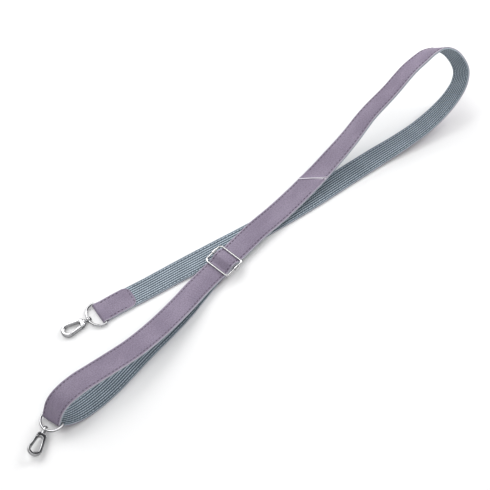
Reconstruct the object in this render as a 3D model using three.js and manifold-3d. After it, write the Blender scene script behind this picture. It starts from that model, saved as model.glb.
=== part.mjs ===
// Adjustable shoulder strap for a bag, lying as it was put down: ribbed webbing faced with leather,
// a swivelling gate hook on a D-ring at each end, and a wire slider that sets the length.
// Millimetres, +Z up, the floor at zero. The strap is laid along X and crosses over itself once.
import * as THREE from 'three';
import { mergeVertices } from 'three/addons/utils/BufferGeometryUtils.js';
import Module from 'manifold-3d';

const wasm = await Module();
wasm.setup();

// The strip: webbing on one side, leather on the other, glued and sewn.
const strapWidth = 25;
const webbingThickness = 1.5;
const leatherThickness = 1.1;
const bondGap = 0.2;
const strapThickness = webbingThickness + bondGap + leatherThickness;
const edgeChamfer = 0.3;
const clearance = 0.3;
const sideClearance = 1.2;
const sectionSpacing = 12;
const sectionTurn = 10;
const routeSpacing = 1;
const straightSpacing = 0.25;
const fewestSteps = 2;

// How the strap lies.
const layLength = 640;
const laySpread = 100;
const farLoopRise = 68;
const hookLoopRise = 30;
const layMiddleShares = [-0.0019, 0.0209];

// Where two lengths of leather meet: the slant of the butt, and the length over which it fades.
const spliceSlant = -0.88;
const slantFade = 30;

const looks = {
  nickel: { color: 0xc9cbd0, roughness: 0.18, metalness: 1 },
  springSteel: { color: 0x9a9ca0, roughness: 0.35, metalness: 1 },
  leather: { color: 0x83778b, roughness: 0.62, metalness: 0 },
  webbing: { color: 0x66737f, roughness: 0.9, metalness: 0 },
};

const quarterTurn = 90;
const fullTurn = 4 * quarterTurn;
const radians = (angle) => THREE.MathUtils.degToRad(angle);
const sine = (angle) => Math.sin(radians(angle));
const cosine = (angle) => Math.cos(radians(angle));
const arcsine = (ratio) => THREE.MathUtils.radToDeg(Math.asin(ratio));
const forward = new THREE.Vector3(1, 0, 0);
const leftward = new THREE.Vector3(0, 1, 0);
const upward = new THREE.Vector3(0, 0, 1);

function direction(azimuth, tilt) {
  return new THREE.Vector3(cosine(tilt) * cosine(azimuth), cosine(tilt) * sine(azimuth), sine(tilt));
}

const layMiddle = new THREE.Vector3(layMiddleShares[0] * layLength, layMiddleShares[1] * laySpread, 0);
const part = new THREE.Group();

function addPiece(name, geometry, look) {
  geometry.translate(-layMiddle.x, -layMiddle.y, 0);
  geometry.computeVertexNormals();
  const mesh = new THREE.Mesh(geometry, new THREE.MeshStandardMaterial(looks[look]));
  mesh.name = name;
  part.add(mesh);
}

// Turns a geometry into a closed body for joining and cutting.
function solid(geometry) {
  const bare = geometry.clone();
  bare.deleteAttribute('normal');
  bare.deleteAttribute('uv');
  const merged = mergeVertices(bare);
  return new wasm.Manifold(new wasm.Mesh({
    numProp: 3,
    vertProperties: new Float32Array(merged.attributes.position.array),
    triVerts: new Uint32Array(merged.index.array),
  }));
}

function geometryOf(body) {
  const mesh = body.getMesh();
  const geometry = new THREE.BufferGeometry();
  geometry.setAttribute('position', new THREE.BufferAttribute(new Float32Array(mesh.vertProperties), 3));
  geometry.setIndex(new THREE.BufferAttribute(new Uint32Array(mesh.triVerts), 1));
  return geometry;
}

// Skins a row of equal rings of corners, and either closes both ends or joins the last to the first.
// Each face's two triangles meet on the same slant above and below, so that twisted layers lie parallel.
function loft(rings, joined = false) {
  const around = rings[0].length;
  const index = [];
  const spans = joined ? rings.length : rings.length - 1;
  for (let i = 0; i < spans; i += 1) {
    const here = i * around;
    const there = ((i + 1) % rings.length) * around;
    for (let k = 0; k < around; k += 1) {
      const next = (k + 1) % around;
      const above = k >= around / 2;
      index.push(here + k, here + next, above ? there + k : there + next);
      index.push(above ? here + next : here + k, there + next, there + k);
    }
  }
  const end = (rings.length - 1) * around;
  for (let k = 1; !joined && k + 1 < around; k += 1) {
    index.push(0, k + 1, k, end, end + k, end + k + 1);
  }
  const geometry = new THREE.BufferGeometry();
  const positions = new Float32Array(rings.flat().flatMap((corner) => corner.toArray()));
  geometry.setAttribute('position', new THREE.BufferAttribute(positions, 3));
  geometry.setIndex(index);
  return geometry;
}

// A ring of corners round a place, turning from one direction to the other.
const circle = (place, first, second, radius, sides) => Array.from({ length: sides }, (_, k) => {
  const angle = ((k + 1 / 2) / sides) * 2 * Math.PI;
  return place.clone().addScaledVector(first, radius * Math.cos(angle))
    .addScaledVector(second, radius * Math.sin(angle));
});

// A round wire along a path that lies about square to the upward direction.
function wire(path, radius, sides, joined) {
  const rings = path.map((place, i) => {
    const last = path.length - 1;
    const next = joined ? path[(i + 1) % path.length] : path[Math.min(i + 1, last)];
    const before = joined ? path[(i + last) % path.length] : path[Math.max(i - 1, 0)];
    const across = upward.clone().cross(next.clone().sub(before)).normalize();
    return circle(place, across, upward, radius, sides);
  });
  return loft(rings, joined);
}

// A turned solid on the X axis: points are (distance along X, radius).
const turnedOnX = (points, sides) => loft(points.map(([along, radius]) => (
  circle(new THREE.Vector3(along, 0, 0), leftward, upward, radius, sides))));

// An upright round bar between two heights.
const upright = (place, radius, low, high, sides) => loft([low, high].map((level) => (
  circle(place.clone().setZ(level), forward, leftward, radius, sides))));

// A plain prism of an outline of straight edges between two heights.
function prism(shape, low, high) {
  return new THREE.ExtrudeGeometry(shape, { depth: high - low, bevelEnabled: false }).translate(0, 0, low);
}

// Points round an arc, from one angle to another, in the plane of two directions.
function arcPoints(centre, first, second, radius, fromAngle, toAngle, step = sectionTurn) {
  const steps = Math.max(1, Math.ceil(Math.abs(toAngle - fromAngle) / step));
  return Array.from({ length: steps + 1 }, (_, i) => {
    const angle = THREE.MathUtils.lerp(fromAngle, toAngle, i / steps);
    return centre.clone().addScaledVector(first, radius * cosine(angle))
      .addScaledVector(second, radius * sine(angle));
  });
}

// The slope of the straight that touches two rounds, the second one further on and higher by `climb`:
// on opposite sides of it, or for a negative first radius on the same side.
function touchSlope(across, climb, first, second) {
  const apart = Math.hypot(across, climb);
  return arcsine((first + second) / apart) - arcsine(climb / apart);
}

// Slider sizes. Its plane is level; a reach is measured from the bar along the strap.
const sliderWire = 2.2;
const sliderLength = 26.8;
const sliderCorner = 3.6;
const sliderStep = 18;
const wireSides = 12;
const barWidth = 4;
const barThickness = 0.7;
const rolledEndWidth = 5.8;
const rolledEndGap = 0.15;
const rolledEndTurn = 240;
const rolledEndStep = 15;
const barFromMiddle = 2.2;
const framePlay = 4;
const wireRadius = sliderWire / 2;
const rolledEndInner = wireRadius + rolledEndGap;
const rolledEndOuter = rolledEndInner + barThickness;
const sideWireAt = strapWidth / 2 + sideClearance + rolledEndOuter;
const endWireAt = (sliderLength - sliderWire) / 2;
const leadWireReach = endWireAt - barFromMiddle;
const tailWireReach = endWireAt + barFromMiddle - framePlay;

// Heights at the slider, counted up from the floor: the long run, the sewn end's two leathers,
// the strap that passes through, and the wires on top of it.
const floorLevel = strapThickness / 2;
const slideLevel = strapThickness + clearance * 2 + leatherThickness * 2 + bondGap + strapThickness / 2;
const wireAbove = strapThickness / 2 + clearance + wireRadius;
const barAbove = wireAbove - rolledEndInner - barThickness / 2;
const wireLevel = slideLevel + wireAbove;
const barLevel = slideLevel + barAbove;
const underWireRadius = wireRadius + clearance + strapThickness / 2;
const barShoulder = (barWidth - barThickness) / 2;
const barLeatherRadius = barThickness / 2 + bondGap + leatherThickness / 2;
const humpToUpper = leatherThickness / 2 + clearance + strapThickness / 2;
const humpRadius = barLeatherRadius + humpToUpper;
const upperToLower = leatherThickness + bondGap;

// How far the strap is lifted where it passes over the bar and under the two end wires.
function humpLift(along) {
  const wireReach = along > 0 ? leadWireReach : tailWireReach;
  const reach = Math.abs(along);
  const slope = touchSlope(wireReach - barShoulder, wireAbove - barAbove, humpRadius, underWireRadius);
  const top = barShoulder + humpRadius * sine(slope);
  const foot = wireReach - underWireRadius * sine(slope);
  if (reach <= barShoulder) return barAbove + humpRadius;
  if (reach <= top) return barAbove + Math.sqrt(humpRadius ** 2 - (reach - barShoulder) ** 2);
  if (reach <= foot) return barAbove + humpRadius * cosine(slope) - (reach - top) * Math.tan(radians(slope));
  if (reach <= wireReach) return wireAbove - Math.sqrt(underWireRadius ** 2 - (reach - wireReach) ** 2);
  return 0;
}

// D-ring sizes, and the loose swivel in its boss.
const ringWire = 2.6;
const ringInside = 26;
const ringRadius = ringWire / 2;
const ringHalf = (ringInside + ringWire) / 2;
const ringDepth = 14.5;
const ringCorner = 1.6;
const ringCornerStep = 30;
const ringStep = 10;
const bossRadius = 2.5;
const bossHole = 1.7;
const bossSides = 20;
const postRadius = 1;
const postReach = 2.1;
const rivetRadius = 2.2;
const rivetThickness = 1.2;
const rivetGap = 1.25;
const collarGap = 1;

// Gate hook sizes; places on it are measured from the open end of its collar.
const collarStart = ringDepth + ringRadius + collarGap;
const collarRadius = 2.5;
const collarLength = 3.4;
const collarEase = 0.4;
const postBoreRadius = 1.1;
const postBoreDepth = 2.4;
const hookLength = 29.6;
const hookNoseRadius = 7.7;
const hookThickness = 4.8;
const hookRim = 1.4;
const hookRimSegments = 3;
const hookCurveSegments = 14;
const shoulderAt = 4.4;
const shoulderHalf = 5.3;
const shoulderStart = 2.6;
const shoulderStartHalf = 3.2;
const limbWidth = 3.6;
const noseLimb = 4.2;
const eyeStart = 7.6;
const eyeStartRadius = 2.4;
const eyeRadius = hookNoseRadius - limbWidth;
const noseAt = hookLength - hookNoseRadius;
const eyeAt = hookLength - noseLimb - eyeRadius;

// The gate: a straight stretch of one limb that turns inwards on a pin in the hook's forked base.
// Its lengths run from the pin along the limb.
const gatePinAt = 6.6;
const gateStart = 2;
const gateStartSlant = 0.7;
const gateTip = 15.4;
const gateLap = 1.6;
const gateReach = 2.6;
const knuckleRadius = 1.75;
const knuckleThickness = 1.6;
const forkGap = 0.35;
const forkWidth = 3.6;
const tongueHalf = 1.3;
const pinRadius = 0.7;
const pinHole = 0.8;
const pinLength = 4.5;
const pinSides = 16;
const springWireRadius = 0.15;
const springTurns = 1.75;
const springRise = 1.05;
const springRadius = 1.2;
const springLeg = 1;
const springStepsPerTurn = 16;
const springSides = 6;

// Where the strap turns round each D-ring's bar.
const wrapGap = 0.2;
const wrapRadius = ringRadius + wrapGap + leatherThickness / 2;
const foldRadius = ringRadius + clearance + strapThickness / 2;
const hookABarShares = [-0.261, 0.374];
const hookABarAzimuth = -100;
const hookABarLevel = leatherThickness / 2 + wrapRadius;
const hookBBarShares = [-0.444, -0.28];
const hookBBarAzimuth = -82;
const hookBBarTilt = 15;
const hookBBarLevel = 8.6;
const hookBRingPitch = -8;
const hookBSwivelAzimuth = 206.5;
const hookBSwivelPitch = 2;
const hookBSwivelTurn = -15;
const foldAngles = [35, 20, 5, -10, -25, -40, -55, -70, -80];
const foldRunOff = 3;
const tabLength = 41;
const tabCorner = 8;
const tabCornerStep = 15;
const tabSettle = 8;
const tabSettleSteps = 4;
const webbingFromBar = 4;

// The slider's place on its straight stretch, and the leather sewn end beneath it.
const slideStartShares = [0.035, -0.015];
const slideAzimuth = 186;
const sliderFromStart = 50;
const slideStretch = 80;
const passReach = 15.5;
const sewnFloorReach = 34;
const sewnRiseReach = 26;
const sewnJoinReach = 19;
const doubledReach = 16.5;
const leatherOffset = (strapThickness - leatherThickness) / 2;
const webbingOffset = (webbingThickness - strapThickness) / 2;
const tabOffset = -(strapThickness + leatherThickness) / 2 - bondGap;
const sewnLevel = strapThickness + clearance + leatherThickness / 2 + leatherOffset;

const slideDirection = direction(slideAzimuth, 0);
const slideWidth = direction(slideAzimuth + quarterTurn, 0);
const sliderPlace = new THREE.Vector3(slideStartShares[0] * layLength, slideStartShares[1] * laySpread, 0)
  .addScaledVector(slideDirection, sliderFromStart);
const alongSlide = (reach, level) => sliderPlace.clone().addScaledVector(slideDirection, reach).setZ(level);

// The strap's route by its centre line. Each row is x and y as shares of the lay, the height above a
// base as a share of the loop's rise, and the azimuth and tilt of the strap's width in degrees.
const longRunShares = [
  [-0.261, 0.374, 0, -100, 0],
  [-0.226, 0.339, 0, -100, 0],
  [-0.173, 0.27, 0, -101, 0],
  [-0.11, 0.2, 0, -99, 0],
  [-0.05, 0.128, 0, -99, 0],
  [0.055, 0, 0, -97, 0],
  [0.152, -0.085, 0, -94, 0],
  [0.235, -0.138, 0, -94, 0],
  [0.3, -0.185, 0.01, -94, 3],
  [0.35, -0.235, 0.05, -94, 10, 'farLoopStart'],
  [0.396, -0.272, 0.12, -91, 15],
  [0.436, -0.284, 0.23, -88, 22],
  [0.468, -0.272, 0.35, -85, 30],
  [0.49, -0.238, 0.48, -82, 38],
  [0.502, -0.178, 0.62, -80, 43],
  [0.503, -0.1, 0.77, -79, 46],
  [0.498, -0.008, 0.9, -80, 46],
  [0.485, 0.078, 0.98, -82, 43],
  [0.465, 0.113, 1.01, -86, 36],
  [0.442, 0.12, 0.99, -90, 31],
  [0.416, 0.123, 0.94, -92, 29, 'farLoopEnd'],
  [0.368, 0.106, 0.78, -92, 27],
  [0.318, 0.113, 0.58, -90, 24],
  [0.268, 0.08, 0.39, -84, 19],
  [0.224, 0.059, 0.26, -81, 12],
  [0.177, 0.034, 0.165, -83, 6, 'splice'],
];
const crossingShares = [
  [0.095, 0, 0.04, -83, 0],
];
const hookLoopShares = [
  [-0.12, -0.133, 0.07, -86, 0],
  [-0.155, -0.188, 0.22, -90, 0],
  [-0.22, -0.268, 0.5, -92, 0, 'tailEnd'],
  [-0.278, -0.305, 0.73, -91, 0],
  [-0.32, -0.305, 0.9, -90, 0],
  [-0.358, -0.29, 0.99, -88, 0],
  [-0.385, -0.272, 1, -86, 0],
  [-0.407, -0.26, 0.92, -84, 2],
  [-0.424, -0.252, 0.75, -83, 6],
  [-0.436, -0.252, 0.5, -82, 10, 'foldStart'],
  [-0.4425, -0.262, 0.27, -82, 13],
];
const floorReturnShares = [
  [-0.422, -0.334, 0.077, -84, 9],
  [-0.402, -0.356, 0.03, -88, 4, 'foldEnd'],
  [-0.369, -0.362, 0, -91, 0],
  [-0.33, -0.346, 0, -95, 0],
  [-0.3, -0.318, 0, -96, 0],
  [-0.25, -0.27, 0, -96, 0, 'adjustStart'],
  [-0.205, -0.237, 0, -95, 0],
  [-0.158, -0.192, 0, -93, 0],
  [-0.125, -0.145, 0, -88, 0],
];

function laid(rows, base, rise) {
  return rows.map(([xShare, yShare, riseShare, azimuth, tilt, mark]) => ({
    place: new THREE.Vector3(xShare * layLength, yShare * laySpread, base + riseShare * rise),
    width: direction(azimuth, tilt),
    mark,
  }));
}

const slideRow = (reach, level, mark, straight) => ({
  place: alongSlide(reach, level), width: slideWidth.clone(), mark, straight,
});

// The bars that the strap turns round: `outward` points away from the strap, square to the bar.
const hookABar = {
  place: new THREE.Vector3(hookABarShares[0] * layLength, hookABarShares[1] * laySpread, hookABarLevel),
  line: direction(hookABarAzimuth, 0),
  outward: direction(hookABarAzimuth - quarterTurn, 0),
};
const hookBBar = {
  place: new THREE.Vector3(hookBBarShares[0] * layLength, hookBBarShares[1] * laySpread, hookBBarLevel),
  line: direction(hookBBarAzimuth, hookBBarTilt),
  outward: direction(hookBBarAzimuth - quarterTurn, 0),
};
hookBBar.raised = hookBBar.outward.clone().cross(hookBBar.line);
const roundHookBBar = (angle) => hookBBar.place.clone()
  .addScaledVector(hookBBar.outward, foldRadius * cosine(angle))
  .addScaledVector(hookBBar.raised, foldRadius * sine(angle));
const foldExit = foldAngles[foldAngles.length - 1];
const offHookBBar = roundHookBBar(foldExit).addScaledVector(hookBBar.outward, foldRunOff * sine(foldExit))
  .addScaledVector(hookBBar.raised, -foldRunOff * cosine(foldExit));

const stations = [
  ...laid(longRunShares, floorLevel, farLoopRise),
  ...laid(crossingShares, floorLevel + strapThickness + clearance, farLoopRise),
  slideRow(-sliderFromStart, slideLevel, 'leadStart', true),
  slideRow(-passReach, slideLevel, 'passStart', true),
  slideRow(passReach, slideLevel, 'passEnd', true),
  slideRow(slideStretch - sliderFromStart, slideLevel, undefined, true),
  ...laid(hookLoopShares, slideLevel, hookLoopRise),
  ...foldAngles.map((angle) => ({ place: roundHookBBar(angle), width: hookBBar.line.clone() })),
  { place: offHookBBar, width: hookBBar.line.clone() },
  ...laid(floorReturnShares, floorLevel, hookLoopRise),
  slideRow(sewnFloorReach, floorLevel),
  slideRow(sewnRiseReach, (floorLevel + sewnLevel) / 2, 'webbingStop'),
  slideRow(sewnJoinReach, sewnLevel),
];

// Centripetal Catmull-Rom between the two middle ones of four points.
function splinePoint(points, share) {
  const knots = [0];
  for (let i = 1; i < points.length; i += 1) {
    knots.push(knots[i - 1] + Math.sqrt(points[i].distanceTo(points[i - 1])));
  }
  const at = THREE.MathUtils.lerp(knots[1], knots[2], share);
  const mix = (a, b, low, high) => a.clone().lerp(b, (at - knots[low]) / (knots[high] - knots[low]));
  const [before, from, to, after] = points;
  const first = mix(before, from, 0, 1);
  const second = mix(from, to, 1, 2);
  const third = mix(to, after, 2, 3);
  return mix(mix(first, second, 0, 2), mix(second, third, 1, 3), 1, 2);
}

// The route as closely spaced frames: place, travel, width and run.
const frames = [];
const marks = {};
const beyond = (from, to) => from.place.clone().multiplyScalar(2).sub(to.place);
stations.forEach((from, i) => {
  if (from.mark) marks[from.mark] = frames.length;
  const to = stations[i + 1];
  if (!to) {
    frames.push({ place: from.place.clone(), width: from.width.clone() });
    return;
  }
  const before = i > 0 ? stations[i - 1].place : beyond(from, to);
  const after = stations[i + 2] ? stations[i + 2].place : beyond(to, from);
  const straight = from.straight && to.straight;
  const spacing = straight ? straightSpacing : routeSpacing;
  const steps = Math.max(fewestSteps, Math.round(from.place.distanceTo(to.place) / spacing));
  for (let k = 0; k < steps; k += 1) {
    const share = k / steps;
    const place = straight ? from.place.clone().lerp(to.place, share)
      : splinePoint([before, from.place, to.place, after], share);
    const width = from.width.clone().lerp(to.width, share).normalize();
    place.z = Math.max(place.z, floorLevel + (Math.abs(width.z) * strapWidth) / 2);
    if (straight) place.z += humpLift(sliderPlace.clone().sub(place).dot(slideDirection));
    frames.push({ place, width });
  }
});
frames.forEach((frame, i) => {
  const next = frames[Math.min(i + 1, frames.length - 1)].place;
  const previous = frames[Math.max(i - 1, 0)].place;
  frame.travel = next.clone().sub(frame.place).normalize();
  frame.travel.add(frame.place.clone().sub(previous).normalize()).normalize();
  frame.run = i > 0 ? frames[i - 1].run + frame.place.distanceTo(previous) : 0;
});
const runAt = (mark) => frames[marks[mark]].run;
const routeLength = frames[frames.length - 1].run;

// The frame at any run, with the facing direction that points out of the leather.
function frameAt(run) {
  let low = 0;
  let high = frames.length - 1;
  while (high - low > 1) {
    const middle = Math.floor((low + high) / 2);
    if (frames[middle].run <= run) low = middle;
    else high = middle;
  }
  const share = (run - frames[low].run) / (frames[high].run - frames[low].run);
  const blend = (key) => frames[low][key].clone().lerp(frames[high][key], share);
  const travel = blend('travel').normalize();
  const width = blend('width');
  width.addScaledVector(travel, -width.dot(travel)).normalize();
  return { place: blend('place'), travel, width, facing: travel.clone().cross(width) };
}

// Runs between two ends at which a strip needs a section: it has turned enough or gone far enough.
function sectionRuns(from, to) {
  const runs = [from];
  let last = frameAt(from);
  for (const { run } of frames) {
    const within = run > from + clearance && run < to - clearance;
    const here = frameAt(run);
    const turned = Math.min(here.travel.dot(last.travel), here.width.dot(last.width)) < cosine(sectionTurn);
    if (within && (turned || run - runs[runs.length - 1] > sectionSpacing)) {
      runs.push(run);
      last = here;
    }
  }
  return [...runs, to];
}

// One section of a strip, with its edges eased: `corner` gives a point from across and lift.
function stripRing(corner, halfWidth, thickness) {
  const half = thickness / 2;
  const flat = halfWidth - edgeChamfer;
  const low = half - edgeChamfer;
  return [
    [-flat, -half], [flat, -half], [halfWidth, -low], [halfWidth, low],
    [flat, half], [-flat, half], [-halfWidth, low], [-halfWidth, -low],
  ].map(([across, lift]) => corner(across, lift));
}

// A strip's sections on the route at the given runs. A slant runs a section askew across the width.
const ringsOnRoute = (runs, offset, thickness, slantAt = () => 0) => runs.map((run) => (
  stripRing((across, lift) => {
    const { place, width, facing } = frameAt(run + slantAt(run) * across);
    return place.addScaledVector(facing, offset + lift).addScaledVector(width, across);
  }, strapWidth / 2, thickness)));

// One layer of the strap between two runs. The slant of an end fades over a short length.
function layer(from, to, offset, thickness, slantFrom = 0, slantTo = 0) {
  const start = from + clearance / 2;
  const stop = to - clearance / 2;
  const slantAt = (run) => slantFrom * Math.max(0, 1 - (run - start) / slantFade)
    + slantTo * Math.max(0, 1 - (stop - run) / slantFade);
  return loft(ringsOnRoute(sectionRuns(start, stop), offset, thickness, slantAt));
}
const addWebbing = (name, from, to) => (
  addPiece(name, layer(from, to, webbingOffset, webbingThickness), 'webbing'));
const addFacing = (name, from, to, slantFrom, slantTo) => (
  addPiece(name, layer(from, to, leatherOffset, leatherThickness, slantFrom, slantTo), 'leather'));

// Sections of a strip along bare points whose width has one direction.
function ringsAlong(points, width, thickness, halfWidths = []) {
  return points.map((place, i) => {
    const next = points[Math.min(i + 1, points.length - 1)];
    const before = points[Math.max(i - 1, 0)];
    const facing = next.clone().sub(before).cross(width).normalize();
    return stripRing((across, lift) => place.clone().addScaledVector(width, across)
      .addScaledVector(facing, lift), halfWidths[i] ?? strapWidth / 2, thickness);
  });
}

// The leather of the long run: from its tab sewn on the webbing, round hook A's bar, and on beneath.
const longRuns = sectionRuns(webbingFromBar, runAt('farLoopStart') - clearance / 2);
function longRunFacing() {
  const tabRuns = Array.from({ length: quarterTurn / tabCornerStep + 1 }, (_, i) => (
    tabLength - tabCorner * (1 - cosine(i * tabCornerStep))));
  const settleRuns = Array.from({ length: tabSettleSteps }, (_, i) => tabSettle * (1 - i / tabSettleSteps));
  const runs = [...tabRuns, ...settleRuns];
  const raised = hookABarLevel + wrapRadius - floorLevel;
  const points = runs.map((run) => {
    const { place, facing } = frameAt(run);
    const settled = THREE.MathUtils.smoothstep(run, 0, tabSettle);
    return place.addScaledVector(facing, THREE.MathUtils.lerp(-raised, tabOffset, settled));
  });
  const halfWidths = runs.map((run) => {
    const past = Math.max(0, run - tabLength + tabCorner);
    return strapWidth / 2 - tabCorner + Math.sqrt(tabCorner ** 2 - past ** 2);
  });
  halfWidths[0] += edgeChamfer;
  points.push(...arcPoints(hookABar.place, hookABar.outward, upward, wrapRadius, quarterTurn, -quarterTurn));
  return loft([
    ...ringsAlong(points, hookABar.line, leatherThickness, halfWidths),
    ...ringsOnRoute([strapThickness, ...longRuns], leatherOffset, leatherThickness),
  ]);
}

// The strap from hook A round to the slider. Two leathers meet in a slanted butt on the way back.
addPiece('long_run_webbing', loft(ringsOnRoute(longRuns, webbingOffset, webbingThickness)), 'webbing');
addPiece('long_run_facing', longRunFacing(), 'leather');
addWebbing('far_loop_webbing', runAt('farLoopStart'), runAt('farLoopEnd'));
addFacing('far_loop_facing', runAt('farLoopStart'), runAt('farLoopEnd'));
addWebbing('return_run_webbing', runAt('farLoopEnd'), runAt('leadStart'));
addFacing('return_run_facing', runAt('farLoopEnd'), runAt('splice'), 0, spliceSlant);
addFacing('crossing_facing', runAt('splice'), runAt('leadStart'), spliceSlant, 0);

// The strap through the slider, which carries a hump of it along, and on to the loop at hook B.
addWebbing('slider_lead_webbing', runAt('leadStart'), runAt('passStart'));
addFacing('slider_lead_facing', runAt('leadStart'), runAt('passStart'));
addWebbing('slider_hump_webbing', runAt('passStart'), runAt('passEnd'));
addFacing('slider_hump_facing', runAt('passStart'), runAt('passEnd'));
addWebbing('slider_tail_webbing', runAt('passEnd'), runAt('tailEnd'));
addFacing('slider_tail_facing', runAt('passEnd'), runAt('tailEnd'));
addWebbing('hook_loop_webbing', runAt('tailEnd'), runAt('foldStart'));
addFacing('hook_loop_facing', runAt('tailEnd'), runAt('foldStart'));
addWebbing('fold_webbing', runAt('foldStart'), runAt('foldEnd'));
addFacing('fold_facing', runAt('foldStart'), runAt('foldEnd'));
addWebbing('floor_return_webbing', runAt('foldEnd'), runAt('adjustStart'));
addFacing('floor_return_facing', runAt('foldEnd'), runAt('adjustStart'));
addWebbing('adjust_webbing', runAt('adjustStart'), runAt('webbingStop'));
addFacing('adjust_facing', runAt('adjustStart'), routeLength);

// The sewn end: the leather alone goes under the slider's bar, round it, and back on top of itself.
function sewnEnd() {
  const backward = slideDirection.clone().negate();
  const tailWire = alongSlide(tailWireReach, wireLevel);
  const tailEdge = alongSlide(barShoulder, barLevel);
  const leadEdge = alongSlide(-barShoulder, barLevel);
  const upperRadius = underWireRadius + humpToUpper;
  const lowerRadius = upperRadius + upperToLower;
  const across = tailWireReach - barShoulder;
  const climb = wireAbove - barAbove;
  const upperSlope = touchSlope(across, climb, barLeatherRadius, upperRadius);
  const lowerSlope = touchSlope(across, climb, -barLeatherRadius, lowerRadius);
  const points = [
    alongSlide(sewnJoinReach - clearance, wireLevel - lowerRadius),
    alongSlide((sewnJoinReach + tailWireReach) / 2, wireLevel - lowerRadius),
    ...arcPoints(tailWire, backward, upward, lowerRadius, -quarterTurn, lowerSlope - quarterTurn),
    alongSlide(barShoulder, barLevel - barLeatherRadius),
    ...arcPoints(leadEdge, backward, upward, barLeatherRadius, -quarterTurn, quarterTurn),
    ...arcPoints(tailEdge, backward, upward, barLeatherRadius, quarterTurn, quarterTurn + upperSlope),
    ...arcPoints(tailWire, backward, upward, upperRadius, upperSlope - quarterTurn, -quarterTurn),
    alongSlide(doubledReach, wireLevel - upperRadius),
  ];
  return loft(ringsAlong(points, slideWidth, leatherThickness));
}
addPiece('sewn_end', sewnEnd(), 'leather');

// Slider frame: one wire bent to a rounded rectangle.
function sliderFrame() {
  const middle = alongSlide(barFromMiddle, wireLevel);
  const turns = [[1, 1], [-1, 1], [-1, -1], [1, -1]];
  const path = turns.flatMap(([ahead, aside], turn) => arcPoints(
    middle.clone().addScaledVector(slideDirection, ahead * (endWireAt - sliderCorner))
      .addScaledVector(slideWidth, aside * (sideWireAt - sliderCorner)),
    slideDirection, slideWidth, sliderCorner, turn * quarterTurn, (turn + 1) * quarterTurn, sliderStep,
  ));
  return wire(path, wireRadius, wireSides, true);
}
addPiece('slider_frame', sliderFrame(), 'nickel');

// Slider bar: a flat plate whose wider ends are rolled round the frame's side wires.
function rolledEnd() {
  const shape = new THREE.Shape();
  const start = -quarterTurn;
  const stop = start + rolledEndTurn;
  shape.setFromPoints([
    new THREE.Vector3(-rolledEndOuter, -rolledEndInner, 0),
    new THREE.Vector3(-rolledEndOuter, -rolledEndOuter, 0),
    ...arcPoints(new THREE.Vector3(), forward, leftward, rolledEndOuter, start, stop, rolledEndStep),
    ...arcPoints(new THREE.Vector3(), forward, leftward, rolledEndInner, stop, start, rolledEndStep),
  ].map((point) => new THREE.Vector2(point.x, point.y)));
  const half = rolledEndWidth / 2;
  const toSide = new THREE.Matrix4().makeBasis(leftward, upward, forward);
  return prism(shape, -half, half).applyMatrix4(toSide).translate(0, sideWireAt, 0);
}
function sliderBar() {
  const plateTop = -rolledEndInner;
  const plateHalf = sideWireAt - rolledEndOuter / 2;
  const plate = new THREE.BoxGeometry(barWidth, plateHalf * 2, barThickness)
    .translate(0, 0, plateTop - barThickness / 2);
  const left = solid(rolledEnd());
  const right = solid(rolledEnd().rotateZ(Math.PI));
  const bar = geometryOf(solid(plate).add(left).add(right));
  const place = new THREE.Matrix4().makeBasis(slideDirection, slideWidth, upward)
    .setPosition(alongSlide(0, wireLevel));
  return bar.applyMatrix4(place);
}
addPiece('slider_bar', sliderBar(), 'nickel');

// D-ring with its bar on Y and the swivel's boss on X.
function dRing() {
  const cornerAt = (side) => new THREE.Vector3(ringCorner, side * (ringHalf - ringCorner), 0);
  const bowTurn = quarterTurn - ringStep;
  const bowDepth = ringDepth - ringCorner;
  const bow = arcPoints(new THREE.Vector3(), forward, leftward, 1, bowTurn, -bowTurn, ringStep)
    .map((point) => new THREE.Vector3(ringCorner + bowDepth * point.x, ringHalf * point.y, 0));
  const path = [
    ...arcPoints(cornerAt(1), forward, leftward, ringCorner, 2 * quarterTurn, quarterTurn, ringCornerStep),
    ...bow,
    ...arcPoints(cornerAt(-1), forward, leftward, ringCorner, -quarterTurn, -2 * quarterTurn, ringCornerStep),
  ];
  const bossEnds = [ringDepth - ringRadius, ringDepth + ringRadius];
  const boss = turnedOnX([
    [bossEnds[0], bossRadius - edgeChamfer], [bossEnds[0] + edgeChamfer, bossRadius],
    [bossEnds[1] - edgeChamfer, bossRadius], [bossEnds[1], bossRadius - edgeChamfer],
  ], bossSides);
  const hole = turnedOnX(bossEnds.map((end, i) => [end + (i ? clearance : -clearance), bossHole]), bossSides);
  return geometryOf(solid(wire(path, ringRadius, wireSides, true)).add(solid(boss)).subtract(solid(hole)));
}

// Hook body: the collar and a teardrop plate with a rounded eye, less the gate's stretch of its limb.
const gateSlope = touchSlope(noseAt - shoulderAt, shoulderHalf, 0, hookNoseRadius);
const gatePin = new THREE.Vector3(
  collarStart + gatePinAt,
  shoulderHalf + (gatePinAt - shoulderAt) * Math.tan(radians(gateSlope)) - limbWidth / 2 / cosine(gateSlope),
  0,
);
const gateAlong = direction(gateSlope, 0);
const gateAcross = direction(gateSlope + quarterTurn, 0);
const onGate = (along, across) => gatePin.clone().addScaledVector(gateAlong, along)
  .addScaledVector(gateAcross, across);
function gateShape(corners) {
  const shape = new THREE.Shape();
  return shape.setFromPoints(corners.map(([along, across]) => {
    const point = onGate(along, across);
    return new THREE.Vector2(point.x, point.y);
  }));
}

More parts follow.
